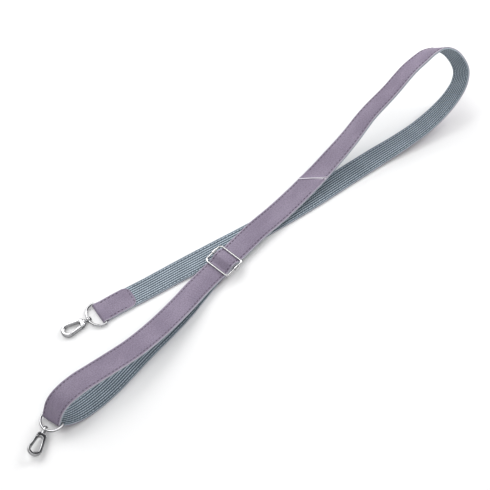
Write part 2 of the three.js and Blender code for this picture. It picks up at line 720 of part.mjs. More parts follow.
function hookPlate() {
  const shape = new THREE.Shape();
  shape.moveTo(collarStart + shoulderStart, -shoulderStartHalf);
  shape.lineTo(collarStart + shoulderAt, -shoulderHalf);
  const touch = radians(quarterTurn + gateSlope);
  shape.absarc(collarStart + noseAt, 0, hookNoseRadius, -touch, touch, false);
  shape.lineTo(collarStart + shoulderAt, shoulderHalf);
  shape.lineTo(collarStart + shoulderStart, shoulderStartHalf);
  const eye = new THREE.Path();
  const eyeStartAt = eyeStart + eyeStartRadius;
  const eyeTouch = radians(quarterTurn + arcsine((eyeRadius - eyeStartRadius) / (eyeAt - eyeStartAt)));
  eye.absarc(collarStart + eyeStartAt, 0, eyeStartRadius, eyeTouch, 2 * Math.PI - eyeTouch, false);
  eye.absarc(collarStart + eyeAt, 0, eyeRadius, -eyeTouch, eyeTouch, false);
  shape.holes.push(eye);
  const plate = new THREE.ExtrudeGeometry(shape, {
    depth: hookThickness - 2 * hookRim,
    bevelThickness: hookRim,
    bevelSize: hookRim,
    bevelOffset: -hookRim,
    bevelSegments: hookRimSegments,
    curveSegments: hookCurveSegments,
  });
  return solid(plate.translate(0, 0, hookRim - hookThickness / 2));
}

const pinBody = (radius, half) => solid(upright(gatePin, radius, -half, half, pinSides));
function hookBody(plate) {
  const collarEnd = collarStart + collarLength;
  const collar = turnedOnX([
    [collarStart, collarRadius - collarEase], [collarStart + collarEase, collarRadius],
    [collarEnd, collarRadius], [collarEnd + collarEase, collarRadius - collarEase],
  ], bossSides);
  const bore = turnedOnX([
    [collarStart - clearance, postBoreRadius], [collarStart + postBoreDepth, postBoreRadius],
  ], wireSides);
  const slot = gateShape([
    [gateStart - clearance, gateReach],
    [gateStart - clearance - gateStartSlant, -gateReach],
    [gateTip + clearance, -gateReach],
    [gateTip + clearance, clearance],
    [gateTip - gateLap + clearance, clearance],
    [gateTip - gateLap + clearance, gateReach],
  ]);
  const forkHalf = forkWidth / 2;
  const forkRadius = knuckleRadius + forkGap;
  const mouth = gateShape([
    [0, forkRadius], [0, -forkRadius], [gateStart, -forkRadius], [gateStart, forkRadius],
  ]);
  return plate.add(solid(collar)).subtract(solid(bore))
    .subtract(solid(prism(slot, -hookThickness, hookThickness)))
    .subtract(solid(prism(mouth, -forkHalf, forkHalf)))
    .subtract(pinBody(forkRadius, forkHalf))
    .subtract(pinBody(pinHole, hookThickness));
}

const tongueLow = clearance - forkWidth / 2;
const tongueHigh = tongueLow + knuckleThickness;
function hookGate(plate) {
  const region = gateShape([
    [gateStart, gateReach],
    [gateStart, -gateReach],
    [gateTip, -gateReach],
    [gateTip, 0],
    [gateTip - gateLap, 0],
    [gateTip - gateLap, gateReach],
  ]);
  const tongue = gateShape([
    [0, tongueHalf], [0, -tongueHalf],
    [gateStart + tongueHalf, -tongueHalf], [gateStart + tongueHalf, tongueHalf],
  ]);
  return plate.intersect(solid(prism(region, -hookThickness, hookThickness)))
    .add(solid(prism(tongue, tongueLow, tongueHigh)))
    .add(solid(upright(gatePin, knuckleRadius, tongueLow, tongueHigh, pinSides)))
    .subtract(pinBody(pinHole, hookThickness));
}

// The gate's spring: a short coil on the pin beside the knuckle, with two straight legs.
function gateSpring() {
  const steps = Math.round(springTurns * springStepsPerTurn);
  const low = tongueHigh + clearance + springWireRadius;
  const coil = Array.from({ length: steps + 1 }, (_, i) => {
    const angle = (i / springStepsPerTurn) * fullTurn;
    return gatePin.clone().addScaledVector(forward, springRadius * cosine(angle))
      .addScaledVector(leftward, springRadius * sine(angle))
      .setZ(low + (springRise * i) / steps);
  });
  const legOut = (from, next) => from.clone().add(from.clone().sub(next).setZ(0).setLength(springLeg));
  coil.unshift(legOut(coil[0], coil[1]));
  coil.push(legOut(coil[coil.length - 1], coil[coil.length - 2]));
  return wire(coil, springWireRadius, springSides, false);
}

// The swivel post: a rivet whose head sits inside the D-ring and whose stem is fixed in the collar.
function swivelPost() {
  const headEnd = ringDepth - ringRadius - rivetGap;
  return turnedOnX([
    [headEnd - rivetThickness, rivetRadius - edgeChamfer],
    [headEnd - rivetThickness + edgeChamfer, rivetRadius],
    [headEnd, rivetRadius],
    [headEnd, postRadius],
    [collarStart + postReach, postRadius],
  ], bossSides);
}

function addHook(name, matrix) {
  const plate = hookPlate();
  const placed = (suffix, geometry, look) => addPiece(name + suffix, geometry.applyMatrix4(matrix), look);
  placed('_body', geometryOf(hookBody(plate)), 'nickel');
  placed('_swivel_post', swivelPost(), 'nickel');
  placed('_gate', geometryOf(hookGate(plate)), 'nickel');
  placed('_gate_pin', upright(gatePin, pinRadius, -pinLength / 2, pinLength / 2, pinSides), 'nickel');
  placed('_gate_spring', gateSpring(), 'springSteel');
}

// Hook A lies flat with its gate on the near side.
const ringAMatrix = new THREE.Matrix4().makeBasis(hookABar.outward, hookABar.line, upward)
  .setPosition(hookABar.place);
addPiece('d_ring_a', dRing().applyMatrix4(ringAMatrix), 'nickel');
addHook('hook_a', ringAMatrix);

// Hook B hangs from the raised bar: its ring leans down, its swivel leans in the boss, and the hook
// is turned rather more than half over, so that its gate is on the far side and higher.
const ringBOut = hookBBar.outward.clone().multiplyScalar(cosine(hookBRingPitch))
  .addScaledVector(hookBBar.raised, sine(hookBRingPitch));
const ringBFace = ringBOut.clone().cross(hookBBar.line);
const ringBMatrix = new THREE.Matrix4().makeBasis(ringBOut, hookBBar.line, ringBFace)
  .setPosition(hookBBar.place);
addPiece('d_ring_b', dRing().applyMatrix4(ringBMatrix), 'nickel');
const hookBOut = direction(hookBSwivelAzimuth, hookBSwivelPitch);
const hookBSide = hookBOut.clone().cross(upward).normalize()
  .applyAxisAngle(hookBOut, radians(hookBSwivelTurn));
const hookBPlace = hookBBar.place.clone().addScaledVector(ringBOut, ringDepth)
  .addScaledVector(hookBOut, -ringDepth);
const hookBMatrix = new THREE.Matrix4().makeBasis(hookBOut, hookBSide, hookBOut.clone().cross(hookBSide))
  .setPosition(hookBPlace);
addHook('hook_b', hookBMatrix);

export default part;
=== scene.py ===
import bpy
import numpy as np
from mathutils import Matrix, Vector


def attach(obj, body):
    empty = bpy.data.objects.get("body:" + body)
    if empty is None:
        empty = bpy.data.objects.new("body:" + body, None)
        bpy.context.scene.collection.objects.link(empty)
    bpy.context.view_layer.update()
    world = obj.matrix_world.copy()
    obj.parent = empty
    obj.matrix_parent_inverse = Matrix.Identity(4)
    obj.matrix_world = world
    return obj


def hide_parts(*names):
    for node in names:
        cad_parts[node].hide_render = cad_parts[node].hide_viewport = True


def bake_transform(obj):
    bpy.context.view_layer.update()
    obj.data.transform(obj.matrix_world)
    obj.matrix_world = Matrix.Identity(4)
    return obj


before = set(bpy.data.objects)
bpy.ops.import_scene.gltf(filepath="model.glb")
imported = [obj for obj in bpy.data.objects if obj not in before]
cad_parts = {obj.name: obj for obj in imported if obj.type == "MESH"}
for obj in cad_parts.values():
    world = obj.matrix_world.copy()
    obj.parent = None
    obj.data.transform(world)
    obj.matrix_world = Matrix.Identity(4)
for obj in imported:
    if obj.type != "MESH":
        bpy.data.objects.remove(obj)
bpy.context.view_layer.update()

# The camera looks down on the strap with a long lens from its near, lower side, square to its long
# diagonal, so that the two hooks are at the lower left of the picture and the far loop at the upper right.
mm = 0.001
look_at = np.array([6.2, -5.1, 0]) * mm
camera_distance = 2100 * mm


def direction(azimuth, tilt):
    """Unit direction from an azimuth and a tilt in degrees: (cos t cos a, cos t sin a, sin t)."""
    azimuth, tilt = np.radians([azimuth, tilt])
    return np.array([np.cos(tilt) * np.cos(azimuth), np.cos(tilt) * np.sin(azimuth), np.sin(tilt)])


def show(name, data):
    """A new object, linked to the scene."""
    shown = bpy.data.objects.new(name, data)
    bpy.context.scene.collection.objects.link(shown)
    return shown


def aim(name, data, centre, towards, distance):
    """A camera or lamp that stands off from a centre in a direction and looks back at it."""
    shown = show(name, data)
    shown.location = centre + towards * distance
    shown.rotation_euler = Vector(towards).to_track_quat("Z", "Y").to_euler()
    return shown


camera_data = bpy.data.cameras.new("camera")
camera_data.lens = 142.2
camera_data.sensor_width = 36
camera_data.clip_end = 20
bpy.context.scene.camera = aim("camera", camera_data, look_at, direction(227.3, 58), camera_distance)

# Webbing: a woven band with nine lengthwise ribs and a plain, paler selvedge, the back of the strap all
# along. It starts under the leather tab at hook A and stops short of the slider's sewn end. Its route is
# the way that the strap lies: rows of places, with the azimuth and tilt of the band's width at each.
strap_width = 25 * mm
half_width = strap_width / 2
webbing_thickness = 1.5 * mm
leather_thickness = 1.1 * mm
bond_gap = 0.2 * mm
strap_thickness = webbing_thickness + bond_gap + leather_thickness
play = 0.3 * mm
lay_length = 640 * mm
lay_spread = 100 * mm
far_loop_rise = 68 * mm
hook_loop_rise = 30 * mm
hook_b_height = 8.6 * mm
lay_middle = np.array([-0.0019 * lay_length, 0.0209 * lay_spread, 0])
wire_radius = 1.1 * mm
bar_thickness = 0.7 * mm
bar_width = 4 * mm
rolled_end_gap = 0.15 * mm
bar_from_middle = 2.2 * mm
end_wire_at = 12.3 * mm
frame_play = 4 * mm
lead_reach = 50 * mm
pass_reach = 15.5 * mm
sewn_join = 19 * mm
lead_wire_reach = end_wire_at - bar_from_middle
tail_wire_reach = end_wire_at + bar_from_middle - frame_play
floor_level = strap_thickness / 2
slide_level = strap_thickness + play * 2 + leather_thickness * 2 + bond_gap + strap_thickness / 2
wire_above = strap_thickness / 2 + play + wire_radius
bar_above = wire_above - wire_radius - rolled_end_gap - bar_thickness / 2
wire_level = slide_level + wire_above
bar_level = slide_level + bar_above
under_wire_radius = wire_radius + play + strap_thickness / 2
bar_shoulder = (bar_width - bar_thickness) / 2
bar_leather_radius = bar_thickness / 2 + bond_gap + leather_thickness / 2
hump_to_upper = leather_thickness / 2 + play + strap_thickness / 2
hump_radius = bar_leather_radius + hump_to_upper
leather_offset = (strap_thickness - leather_thickness) / 2
webbing_offset = (webbing_thickness - strap_thickness) / 2
sewn_level = strap_thickness + play + leather_thickness / 2 + leather_offset
ring_radius = 1.3 * mm
fold_radius = ring_radius + play + strap_thickness / 2
wrap_radius = ring_radius + bond_gap + leather_thickness / 2


def touch_slope(across, climb, first, second):
    """Slope of the straight that touches two rounds, the second one further on and higher:
    asin((first + second) / apart) - asin(climb / apart)."""
    apart = np.hypot(across, climb)
    return np.arcsin((first + second) / apart) - np.arcsin(climb / apart)


def hump_lift(along):
    """Height of the strap over the slider's bar and under its end wires: a level top, an arc round the
    bar's leather, a straight, an arc under the wire, then nothing."""
    reach = np.abs(along)
    wire_reach = np.where(along > 0, lead_wire_reach, tail_wire_reach)
    slope = touch_slope(wire_reach - bar_shoulder, wire_above - bar_above, hump_radius, under_wire_radius)
    top = bar_shoulder + hump_radius * np.sin(slope)
    foot = wire_reach - under_wire_radius * np.sin(slope)
    over = np.sqrt(np.maximum(hump_radius**2 - np.maximum(reach - bar_shoulder, 0) ** 2, 0))
    under = np.sqrt(np.maximum(under_wire_radius**2 - (reach - wire_reach) ** 2, 0))
    straight = hump_radius * np.cos(slope) - (reach - top) * np.tan(slope)
    levels = [bar_above + over, bar_above + straight, wire_above - under]
    return np.select([reach <= top, reach <= foot, reach <= wire_reach], levels, 0)


up = np.array([0, 0, 1.0])
slide_along, slide_across = direction(186, 0), direction(276, 0)
slider_place = np.array([0.035 * lay_length, -0.015 * lay_spread, 0]) + lead_reach * slide_along
hook_a_place = np.array([-0.261 * lay_length, 0.374 * lay_spread, leather_thickness / 2 + wrap_radius])
hook_a_line, hook_a_out = direction(-100, 0), direction(-190, 0)
hook_b_place = np.array([-0.444 * lay_length, -0.28 * lay_spread, hook_b_height])
hook_b_line, hook_b_out = direction(-82, 15), direction(-172, 0)
hook_b_raised = np.cross(hook_b_out, hook_b_line)
stations, marks = [], {}


def lay(rows, base, rise):
    """Adds stations: (x share, y share, share of the rise above the base, width azimuth, width tilt)."""
    for x, y, lift, azimuth, tilt, *mark in rows:
        marks.update({name: len(stations) for name in mark})
        place = np.array([x * lay_length, y * lay_spread, base + lift * rise])
        stations.append((place, direction(azimuth, tilt), False))


def lay_at_slider(reach, level, straight, *mark):
    """Adds a station at a reach along the slider's straight, measured from its bar."""
    marks.update({name: len(stations) for name in mark})
    stations.append((slider_place + reach * slide_along + level * up, slide_across, straight))


lay([
    (-0.261, 0.374, 0, -100, 0, "start"), (-0.226, 0.339, 0, -100, 0), (-0.173, 0.27, 0, -101, 0),
    (-0.11, 0.2, 0, -99, 0), (-0.05, 0.128, 0, -99, 0), (0.055, 0, 0, -97, 0), (0.152, -0.085, 0, -94, 0),
    (0.235, -0.138, 0, -94, 0), (0.3, -0.185, 0.01, -94, 3), (0.35, -0.235, 0.05, -94, 10),
    (0.396, -0.272, 0.12, -91, 15), (0.436, -0.284, 0.23, -88, 22), (0.468, -0.272, 0.35, -85, 30),
    (0.49, -0.238, 0.48, -82, 38), (0.502, -0.178, 0.62, -80, 43), (0.503, -0.1, 0.77, -79, 46),
    (0.498, -0.008, 0.9, -80, 46), (0.485, 0.078, 0.98, -82, 43), (0.465, 0.113, 1.01, -86, 36),
    (0.442, 0.12, 0.99, -90, 31), (0.416, 0.123, 0.94, -92, 29), (0.368, 0.106, 0.78, -92, 27),
    (0.318, 0.113, 0.58, -90, 24), (0.268, 0.08, 0.39, -84, 19), (0.224, 0.059, 0.26, -81, 12),
    (0.177, 0.034, 0.165, -83, 6, "splice"),
], floor_level, far_loop_rise)
lay([(0.095, 0, 0.04, -83, 0)], floor_level + strap_thickness + play, far_loop_rise)
lay_at_slider(-lead_reach, slide_level, True, "lead start")
lay_at_slider(-pass_reach, slide_level, True, "pass start")
lay_at_slider(pass_reach, slide_level, True, "pass end")
lay_at_slider(30 * mm, slide_level, True)
lay([
    (-0.12, -0.133, 0.07, -86, 0), (-0.155, -0.188, 0.22, -90, 0), (-0.22, -0.268, 0.5, -92, 0, "tail end"),
    (-0.278, -0.305, 0.73, -91, 0), (-0.32, -0.305, 0.9, -90, 0), (-0.358, -0.29, 0.99, -88, 0),
    (-0.385, -0.272, 1, -86, 0), (-0.407, -0.26, 0.92, -84, 2), (-0.424, -0.252, 0.75, -83, 6),
    (-0.436, -0.252, 0.5, -82, 10), (-0.4425, -0.262, 0.27, -82, 13),
], slide_level, hook_loop_rise)
for angle in np.radians([35, 20, 5, -10, -25, -40, -55, -70, -80]):
    radial = np.cos(angle) * hook_b_out + np.sin(angle) * hook_b_raised
    stations.append((hook_b_place + fold_radius * radial, hook_b_line, False))
run_off = 3 * mm * (np.sin(angle) * hook_b_out - np.cos(angle) * hook_b_raised)
stations.append((stations[-1][0] + run_off, hook_b_line, False))
lay([
    (-0.422, -0.334, 0.077, -84, 9), (-0.402, -0.356, 0.03, -88, 4), (-0.369, -0.362, 0, -91, 0),
    (-0.33, -0.346, 0, -95, 0), (-0.3, -0.318, 0, -96, 0), (-0.25, -0.27, 0, -96, 0, "adjust start"),
    (-0.205, -0.237, 0, -95, 0), (-0.158, -0.192, 0, -93, 0), (-0.125, -0.145, 0, -88, 0),
], floor_level, hook_loop_rise)
lay_at_slider(34 * mm, floor_level, False)
lay_at_slider(26 * mm, (floor_level + sewn_level) / 2, False, "webbing stop")
lay_at_slider(sewn_join, sewn_level, False, "end")


def between(points, share):
    """Places between the middle two of four points: a Catmull-Rom curve whose knots are set apart by the
    square roots of the chords, worked out by repeated linear mixes."""
    chords = [max(np.linalg.norm(b - a), 1e-9) for a, b in zip(points[:-1], points[1:])]
    knots = np.concatenate([[0], np.cumsum(np.sqrt(chords))])
    at = knots[1] + share * (knots[2] - knots[1])
    for span in (1, 2):
        points = [
            a + (b - a) * (at - knots[i]) / (knots[i + span] - knots[i])
            for i, (a, b) in enumerate(zip(points[:-1], points[1:]))
        ]
    return points[0] + (points[1] - points[0]) * (at - knots[1]) / (knots[2] - knots[1])


def eased(values, samples):
    """Moving mean along the first axis, over an odd number of samples, with the end values repeated."""
    padded = np.pad(values, [(samples // 2, samples // 2)] + [(0, 0)] * (values.ndim - 1), "edge")
    sums = np.cumsum(np.concatenate([np.zeros((1,) + values.shape[1:]), padded]), axis=0)
    return (sums[samples:] - sums[:-samples]) / samples


def unit(vectors):
    """Vectors divided by their lengths."""
    return vectors / np.linalg.norm(vectors, axis=-1, keepdims=True)


def distances(points):
    """Distance along a path at each of its points: the sum of the chords up to it."""
    return np.concatenate([[0], np.cumsum(np.linalg.norm(np.diff(points, axis=0), axis=-1))])


route_step = 0.25 * mm
ease_reach = 24
ease_samples = 2 * ease_reach + 1
places, widths, starts = [], [], []
ends = [station[0] for station in stations]
ends = [2 * ends[0] - ends[1], *ends, 2 * ends[-1] - ends[-2]]
for i, (here, there) in enumerate(zip(stations[:-1], stations[1:])):
    steps = max(2, round(np.linalg.norm(there[0] - here[0]) / route_step))
    share = np.arange(steps)[:, None] / steps
    straight = here[2] and there[2]
    starts.append(sum(map(len, places)))
    places.append(here[0] + (there[0] - here[0]) * share if straight else between(ends[i:i + 4], share))
    widths.append(here[1] + (there[1] - here[1]) * share)
route_place = np.concatenate(places + [stations[-1][0][None]])
route_width = eased(unit(np.concatenate(widths + [stations[-1][1][None]])), ease_samples)
sunk = np.maximum(floor_level + np.abs(route_width[:, 2]) * half_width - route_place[:, 2], 0)
sunk = np.max([np.roll(sunk, shift) for shift in range(-ease_reach, ease_reach + 1, 4)], axis=0)
route_place[:, 2] += eased(sunk, ease_samples)
slide_part = slice(starts[marks["lead start"]], starts[marks["pass end"] + 1])
route_place[slide_part, 2] += hump_lift((slider_place - route_place[slide_part]) @ slide_along)
route_travel = unit(np.gradient(route_place, axis=0))
route_width = unit(route_width - np.sum(route_width * route_travel, -1, keepdims=True) * route_travel)
route_facing = np.cross(route_travel, route_width)
route_run = distances(route_place)
run_at = {name: route_run[(starts + [len(route_run) - 1])[i]] for name, i in marks.items()}


def on_route(run, across, lift):
    """Points of the strap: place(run) + across * width(run) + lift * facing(run) - lay middle. The leather
    faces along `facing`, and the webbing the other way."""
    run, across, lift = np.broadcast_arrays(run, across, lift)
    place, width, facing = [
        np.stack([np.interp(run, route_run, column) for column in values.T], -1)
        for values in (route_place, route_width, route_facing)
    ]
    return place + across[..., None] * width + lift[..., None] * facing - lay_middle


def pairs(first, second):
    """Two arrays or numbers side by side, along a new last axis."""
    return np.stack(np.broadcast_arrays(first, second), -1)


def shells(grid, joined):
    """Faces of a grid of points [shell, row, column], whose rows are closed rings: (i, k), (i, k + 1),
    (i + 1, k + 1), (i + 1, k). Each shell's first and last ring is closed by one face, or they are joined."""
    count, rows, columns = grid.shape[:3]
    index = np.arange(count * rows * columns).reshape(count, rows, columns)
    here = index if joined else index[:, :-1]
    there = np.roll(index, -1, 1) if joined else index[:, 1:]
    quads = np.stack([here, np.roll(here, -1, 2), np.roll(there, -1, 2), there], -1).reshape(-1, 4)
    caps = [] if joined else index[:, 0, ::-1].tolist() + index[:, -1].tolist()
    return quads.tolist(), caps


def make_piece(name, parts, materials, sharp=40):
    """A mesh object from parts: each is a grid of points, its (run, across) grid, and whether its rings are
    joined. End faces take the last material. Edges sharper than an angle in degrees stay crisp."""
    points, runs, faces, kinds = [], [], [], []
    for grid, along, joined in parts:
        grid, along = [a.reshape((-1,) + a.shape[-3:]) for a in (grid, along)]
        quads, caps = shells(grid, joined)
        offset = sum(map(len, points))
        faces += [[corner + offset for corner in face] for face in quads + caps]
        kinds += [0] * len(quads) + [len(materials) - 1] * len(caps)
        points.append(grid.reshape(-1, 3))
        runs.append(along.reshape(-1, 2))
    mesh = bpy.data.meshes.new(name)
    mesh.from_pydata(np.concatenate(points), [], faces)
    corners = np.zeros(len(mesh.loops), np.int32)
    mesh.loops.foreach_get("vertex_index", corners)
    layer = mesh.uv_layers.new(name="along_across")
    layer.data.foreach_set("uv", np.concatenate(runs)[corners].astype(np.float32).ravel())
    mesh.polygons.foreach_set("material_index", np.array(kinds, np.int32))
    for material in materials:
        mesh.materials.append(material)
    mesh.shade_smooth()
    mesh.set_sharp_from_angle(angle=np.radians(sharp))
    return show(name, mesh)


def rig(piece, bodies, nodes=(), bend=()):
    """Hides the nodes that a piece replaces and hangs the piece on the body that it rides. A piece that lies
    between two bodies, from one run of the strap to another, only has its transform baked in; the ends of
    those runs are worked out but not used."""
    if nodes:
        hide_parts(*nodes)
    if len(bodies) == 1:
        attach(piece, *bodies)
    else:
        start, end = [tuple(on_route(run, 0, 0)) for run in bend]
        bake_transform(piece)


def start_material(name, color, roughness, *more):
    """A material with its shader's plain values set; returns it with its shader."""
    material = bpy.data.materials.new(name)
    material.use_nodes = True
    shader = material.node_tree.nodes["Principled BSDF"]
    for socket, value in (("Base Color", (*color, 1)), ("Roughness", roughness), *more):
        shader.inputs[socket].default_value = value
    return material, shader


def feed(socket, value):
    """Links a socket to an input, or sets the input to a plain number, direction or colour."""
    if isinstance(value, bpy.types.NodeSocket):
        socket.id_data.links.new(value, socket)
    else:
        socket.default_value = (*value, 1) if socket.type == "RGBA" else value


def node(kind, inputs, **settings):
    """Adds a node with its settings and its (input, value) pairs, in the tree of the first socket among the
    values, and returns its outputs."""
    inputs = list(inputs)
    tree = next(value.id_data for key, value in inputs if isinstance(value, bpy.types.NodeSocket))
    added = tree.nodes.new("ShaderNode" + kind)
    for name, value in settings.items():
        setattr(added, name, value)
    for key, value in inputs:
        feed(added.inputs[key], value)
    return added.outputs


def calc(operation, *values):
    """One step of arithmetic on sockets or numbers."""
    return node("Math", enumerate(values), operation=operation)[0]


def along_across(shader):
    """The distance along the strap and across it, in metres, from the piece's own UV map."""
    source = shader.id_data.nodes.new("ShaderNodeUVMap")
    source.uv_map = "along_across"
    split = node("SeparateXYZ", [(0, source.outputs[0])])
    return source.outputs[0], split[0], split[1]


def noise(place, size, detail=2.0, roughness=0.5, stretch=(1, 1, 1)):
    """Soft noise between 0 and 1 whose lumps are about `size` metres, stretched along the axes."""
    place = node("Mapping", [("Vector", place), ("Scale", stretch)])[0]
    values = [("Vector", place), ("Scale", 1 / size), ("Detail", detail), ("Roughness", roughness)]
    return node("TexNoise", values)[0]


def ramp(value, low, high, out_low=0.0, out_high=1.0):
    """Smooth step of a value from low..high to out_low..out_high."""
    values = enumerate((value, low, high, out_low, out_high))
    return node("MapRange", values, interpolation_type="SMOOTHSTEP")[0]


def mix(share, first, second):
    """Colour between two colours or sockets."""
    return node("Mix", [(0, share), (6, first), (7, second)], data_type="RGBA")[2]


def bump(shader, height, distance):
    """Raises the surface by a height times a distance in metres."""
    raised = node("Bump", [("Height", height), ("Distance", distance)])[0]
    feed(shader.inputs["Normal"], raised)


def tint(code):
    """Linear colour from a six-digit display colour: ((c + 0.055) / 1.055) ** 2.4 above the toe."""
    display = np.array([code >> 16 & 255, code >> 8 & 255, code & 255]) / 255
    return tuple(np.where(display > 0.04045, ((display + 0.055) / 1.055) ** 2.4, display / 12.92))


rib_count = 9
selvedge = 0.9 * mm
rib_pitch = (strap_width - 2 * selvedge) / rib_count
rib_height = 0.32 * mm
pick_pitch = 2.8 * mm
pick_height = 0.13 * mm
webbing_step = 0.5 * mm
webbing_start = 4 * mm
# The darkest webbing colour paints shade in the grooves between ribs and in the dips between picks, and is
# also the webbing's own darker clouds. The lightest paints a highlight on the rib tops, and is also the
# selvedge's own paler colour.
webbing_shade_and_dark_tone = tint(0x323E49)
webbing_body = tint(0x84929F)
webbing_highlight_and_selvedge = tint(0xBCC8D2)

webbing_look, shader = start_material(
    "ribbed_webbing", webbing_body, 0.88, ("Sheen Weight", 0.25), ("Sheen Roughness", 0.5))
where, run_out, across_out = along_across(shader)
rib_out = calc("DIVIDE", across_out, rib_pitch)
rib_wave = calc("COSINE", calc("MULTIPLY", rib_out, 2 * np.pi))
rib_side = calc("ABSOLUTE", calc("WRAP", rib_out, 0.5, -0.5))
rib_index = calc("ROUND", rib_out)
chevron = calc("MULTIPLY_ADD", rib_index, np.pi, calc("MULTIPLY", rib_side, 2.5))
pick_wave = calc("COSINE", calc("MULTIPLY_ADD", run_out, 2 * np.pi / pick_pitch, chevron))
fibre = noise(where, 0.5 * mm, 3.0, 0.6, (1, 0.35, 1))
cloud = noise(where, 18 * mm)
# Painted highlight on the rib crests, broken up by fibre noise and the picks.
crest_highlight_and_fibre = calc("MULTIPLY_ADD", fibre, 0.5, calc("MULTIPLY_ADD", pick_wave, 0.07, 0.16))
crest_highlight_and_fibre = calc("MULTIPLY_ADD", rib_wave, 0.32, crest_highlight_and_fibre)
# Painted shade in the dips between the picks, broken up by random fibre flecks.
pick_gap_shade_and_flecks = calc("ADD", pick_wave, calc("MULTIPLY_ADD", fibre, 5.0, -2.5))
from_middle = calc("ABSOLUTE", across_out)
# Painted shade: the grooves between the ribs are darkened.
color = mix(ramp(rib_wave, -1.0, 0.3), webbing_shade_and_dark_tone, webbing_body)
# Painted highlight: the rib tops are lightened.
color = mix(ramp(crest_highlight_and_fibre, 0.32, 0.8), color, webbing_highlight_and_selvedge)
color = mix(ramp(pick_gap_shade_and_flecks, 0.0, -1.0, 0.0, 0.26), color, webbing_shade_and_dark_tone)
color = mix(ramp(from_middle, 11.5 * mm, 11.9 * mm, 0.0, 0.7), color, webbing_highlight_and_selvedge)
color = mix(ramp(cloud, 0.3, 0.7, 0.0, 0.18), color, webbing_shade_and_dark_tone)
feed(shader.inputs["Base Color"], color)
bump(shader, calc("MULTIPLY_ADD", fibre, 0.6, calc("MULTIPLY", pick_wave, 0.4)), 0.12 * mm)

rib_shares = np.array([0, 0.2, 0.5, 0.8])
rib_columns = ((np.arange(rib_count)[:, None] + rib_shares) * rib_pitch).ravel() + selvedge - half_width
webbing_across = np.concatenate([
    [-12.2 * mm], rib_columns, [half_width - selvedge, 12.2 * mm, half_width, half_width, 12.1 * mm],
    np.linspace(11, -11, 8) * mm, [-12.1 * mm, -half_width, -half_width],
])
edge_column = len(rib_columns) + 3
edge_half = 0.35 * mm
rib_crest = np.zeros(len(webbing_across))
rib_crest[1:edge_column - 2] = np.tile(np.sqrt(4 * rib_shares * (1 - rib_shares)), rib_count)
webbing_lift = np.full(len(webbing_across), webbing_thickness / 2)
webbing_lift[:edge_column] = rib_height - webbing_thickness / 2
webbing_lift -= rib_height * rib_crest
webbing_lift[[0, edge_column - 1]] -= 0.24 * mm
webbing_lift[[edge_column, edge_column + 1, -2, -1]] = [-edge_half, edge_half, edge_half, -edge_half]
rib_number = np.round(webbing_across / rib_pitch)

# The strap's stretches, each with its first and last mark, its body or bodies, and its nodes. A stretch of
# webbing is the ribbed section carried along the route. Each rib swells and thins by the cosine of
# 2 pi run / pick pitch, every second rib half a pick later.
stretches = [
    ("long", "start", "lead start", ["strap"], ["long_run", "far_loop", "return_run"]),
    ("lead", "lead start", "pass start", ["strap", "slider_run"], ["slider_lead"]),
    ("hump", "pass start", "pass end", ["slider_run"], ["slider_hump"]),
    ("tail", "pass end", "tail end", ["slider_run", "strap"], ["slider_tail"]),
    ("hook_loop", "tail end", "adjust start", ["strap"], ["hook_loop", "fold", "floor_return"]),
    ("adjust", "adjust start", "end", ["strap", "slider_run"], ["adjust"]),
]
webbing_runs = {**run_at, "start": webbing_start, "end": run_at["webbing stop"]}
for name, first, last, bodies, stems in stretches:
    first, last = webbing_runs[first], webbing_runs[last]
    run = np.linspace(first, last, round((last - first) / webbing_step))[:, None]
    pick = np.cos(2 * np.pi * run / pick_pitch + np.pi * rib_number)
    grid = on_route(run, webbing_across, webbing_offset + webbing_lift - pick_height * rib_crest * pick)
    part = (grid, pairs(run, webbing_across), False)
    piece = make_piece("webbing_" + name, [part], [webbing_look], 55)
    rig(piece, bodies, [stem + "_webbing" for stem in stems], (first, last))

# Leather facing: smooth split leather glued to the webbing, sewn along both edges, with pale cut edges.
# At hook A it turns round the D-ring's bar and ends in a tab with rounded corners on the webbing. On the
# way back from the far loop a second length starts under the slanted end of the first.
leather_body = tint(0x857A8E)
leather_dark = tint(0x5A4F62)
leather_pale = tint(0x92879B)
leather_edge = tint(0xC6C1CC)
leather_cut = tint(0xD6D2DC)
seam_at = 10.1 * mm
seam_depth = 0.16 * mm
crown = 0.08 * mm
leather_round = 0.65 * mm
leather_foot = 0.15 * mm
leather_step = 0.75 * mm
splice_run = run_at["splice"]
quarter = np.pi / 2

leather_look, shader = start_material(
    "smooth_leather", leather_body, 0.55,
    ("Specular IOR Level", 0.4), ("Coat Weight", 0.06), ("Coat Roughness", 0.35))
where, run_out, across_out = along_across(shader)
grain = noise(where, 1.3 * mm, 4.0, 0.65)
pores = noise(where, 0.35 * mm)
cloud = noise(where, 26 * mm, 3.0, 0.55, (0.6, 1, 1))
from_edge = calc("SUBTRACT", half_width, calc("ABSOLUTE", across_out))
from_seam = calc("ABSOLUTE", calc("SUBTRACT", from_edge, half_width - seam_at))
from_cut = calc("ABSOLUTE", calc("SUBTRACT", run_out, splice_run + 0.4 * mm))
color = mix(ramp(cloud, 0.35, 0.68), leather_body, leather_pale)
color = mix(ramp(grain, 0.62, 0.38, 0.0, 0.45), color, leather_dark)
# Painted shade in the pressed stitch groove along each seam.
color = mix(ramp(from_seam, 0.8 * mm, 0.2 * mm, 0.0, 0.12), color, leather_dark)
color = mix(ramp(from_edge, 0.75 * mm, 0.3 * mm, 0.0, 0.85), color, leather_edge)
color = mix(ramp(from_cut, 0.75 * mm, 0.5 * mm), color, leather_cut)
feed(shader.inputs["Base Color"], color)
feed(shader.inputs["Roughness"], ramp(cloud, 0.3, 0.7, 0.62, 0.48))
bump(shader, calc("MULTIPLY_ADD", pores, 0.3, grain), 0.2 * mm)

edge_look, shader = start_material("cut_leather_edge", leather_edge, 0.8)
fibre = noise(along_across(shader)[0], 0.4 * mm, 3.0, 0.65)
feed(shader.inputs["Base Color"], mix(ramp(fibre, 0.3, 0.7), leather_edge, leather_pale))
bump(shader, fibre, 0.08 * mm)

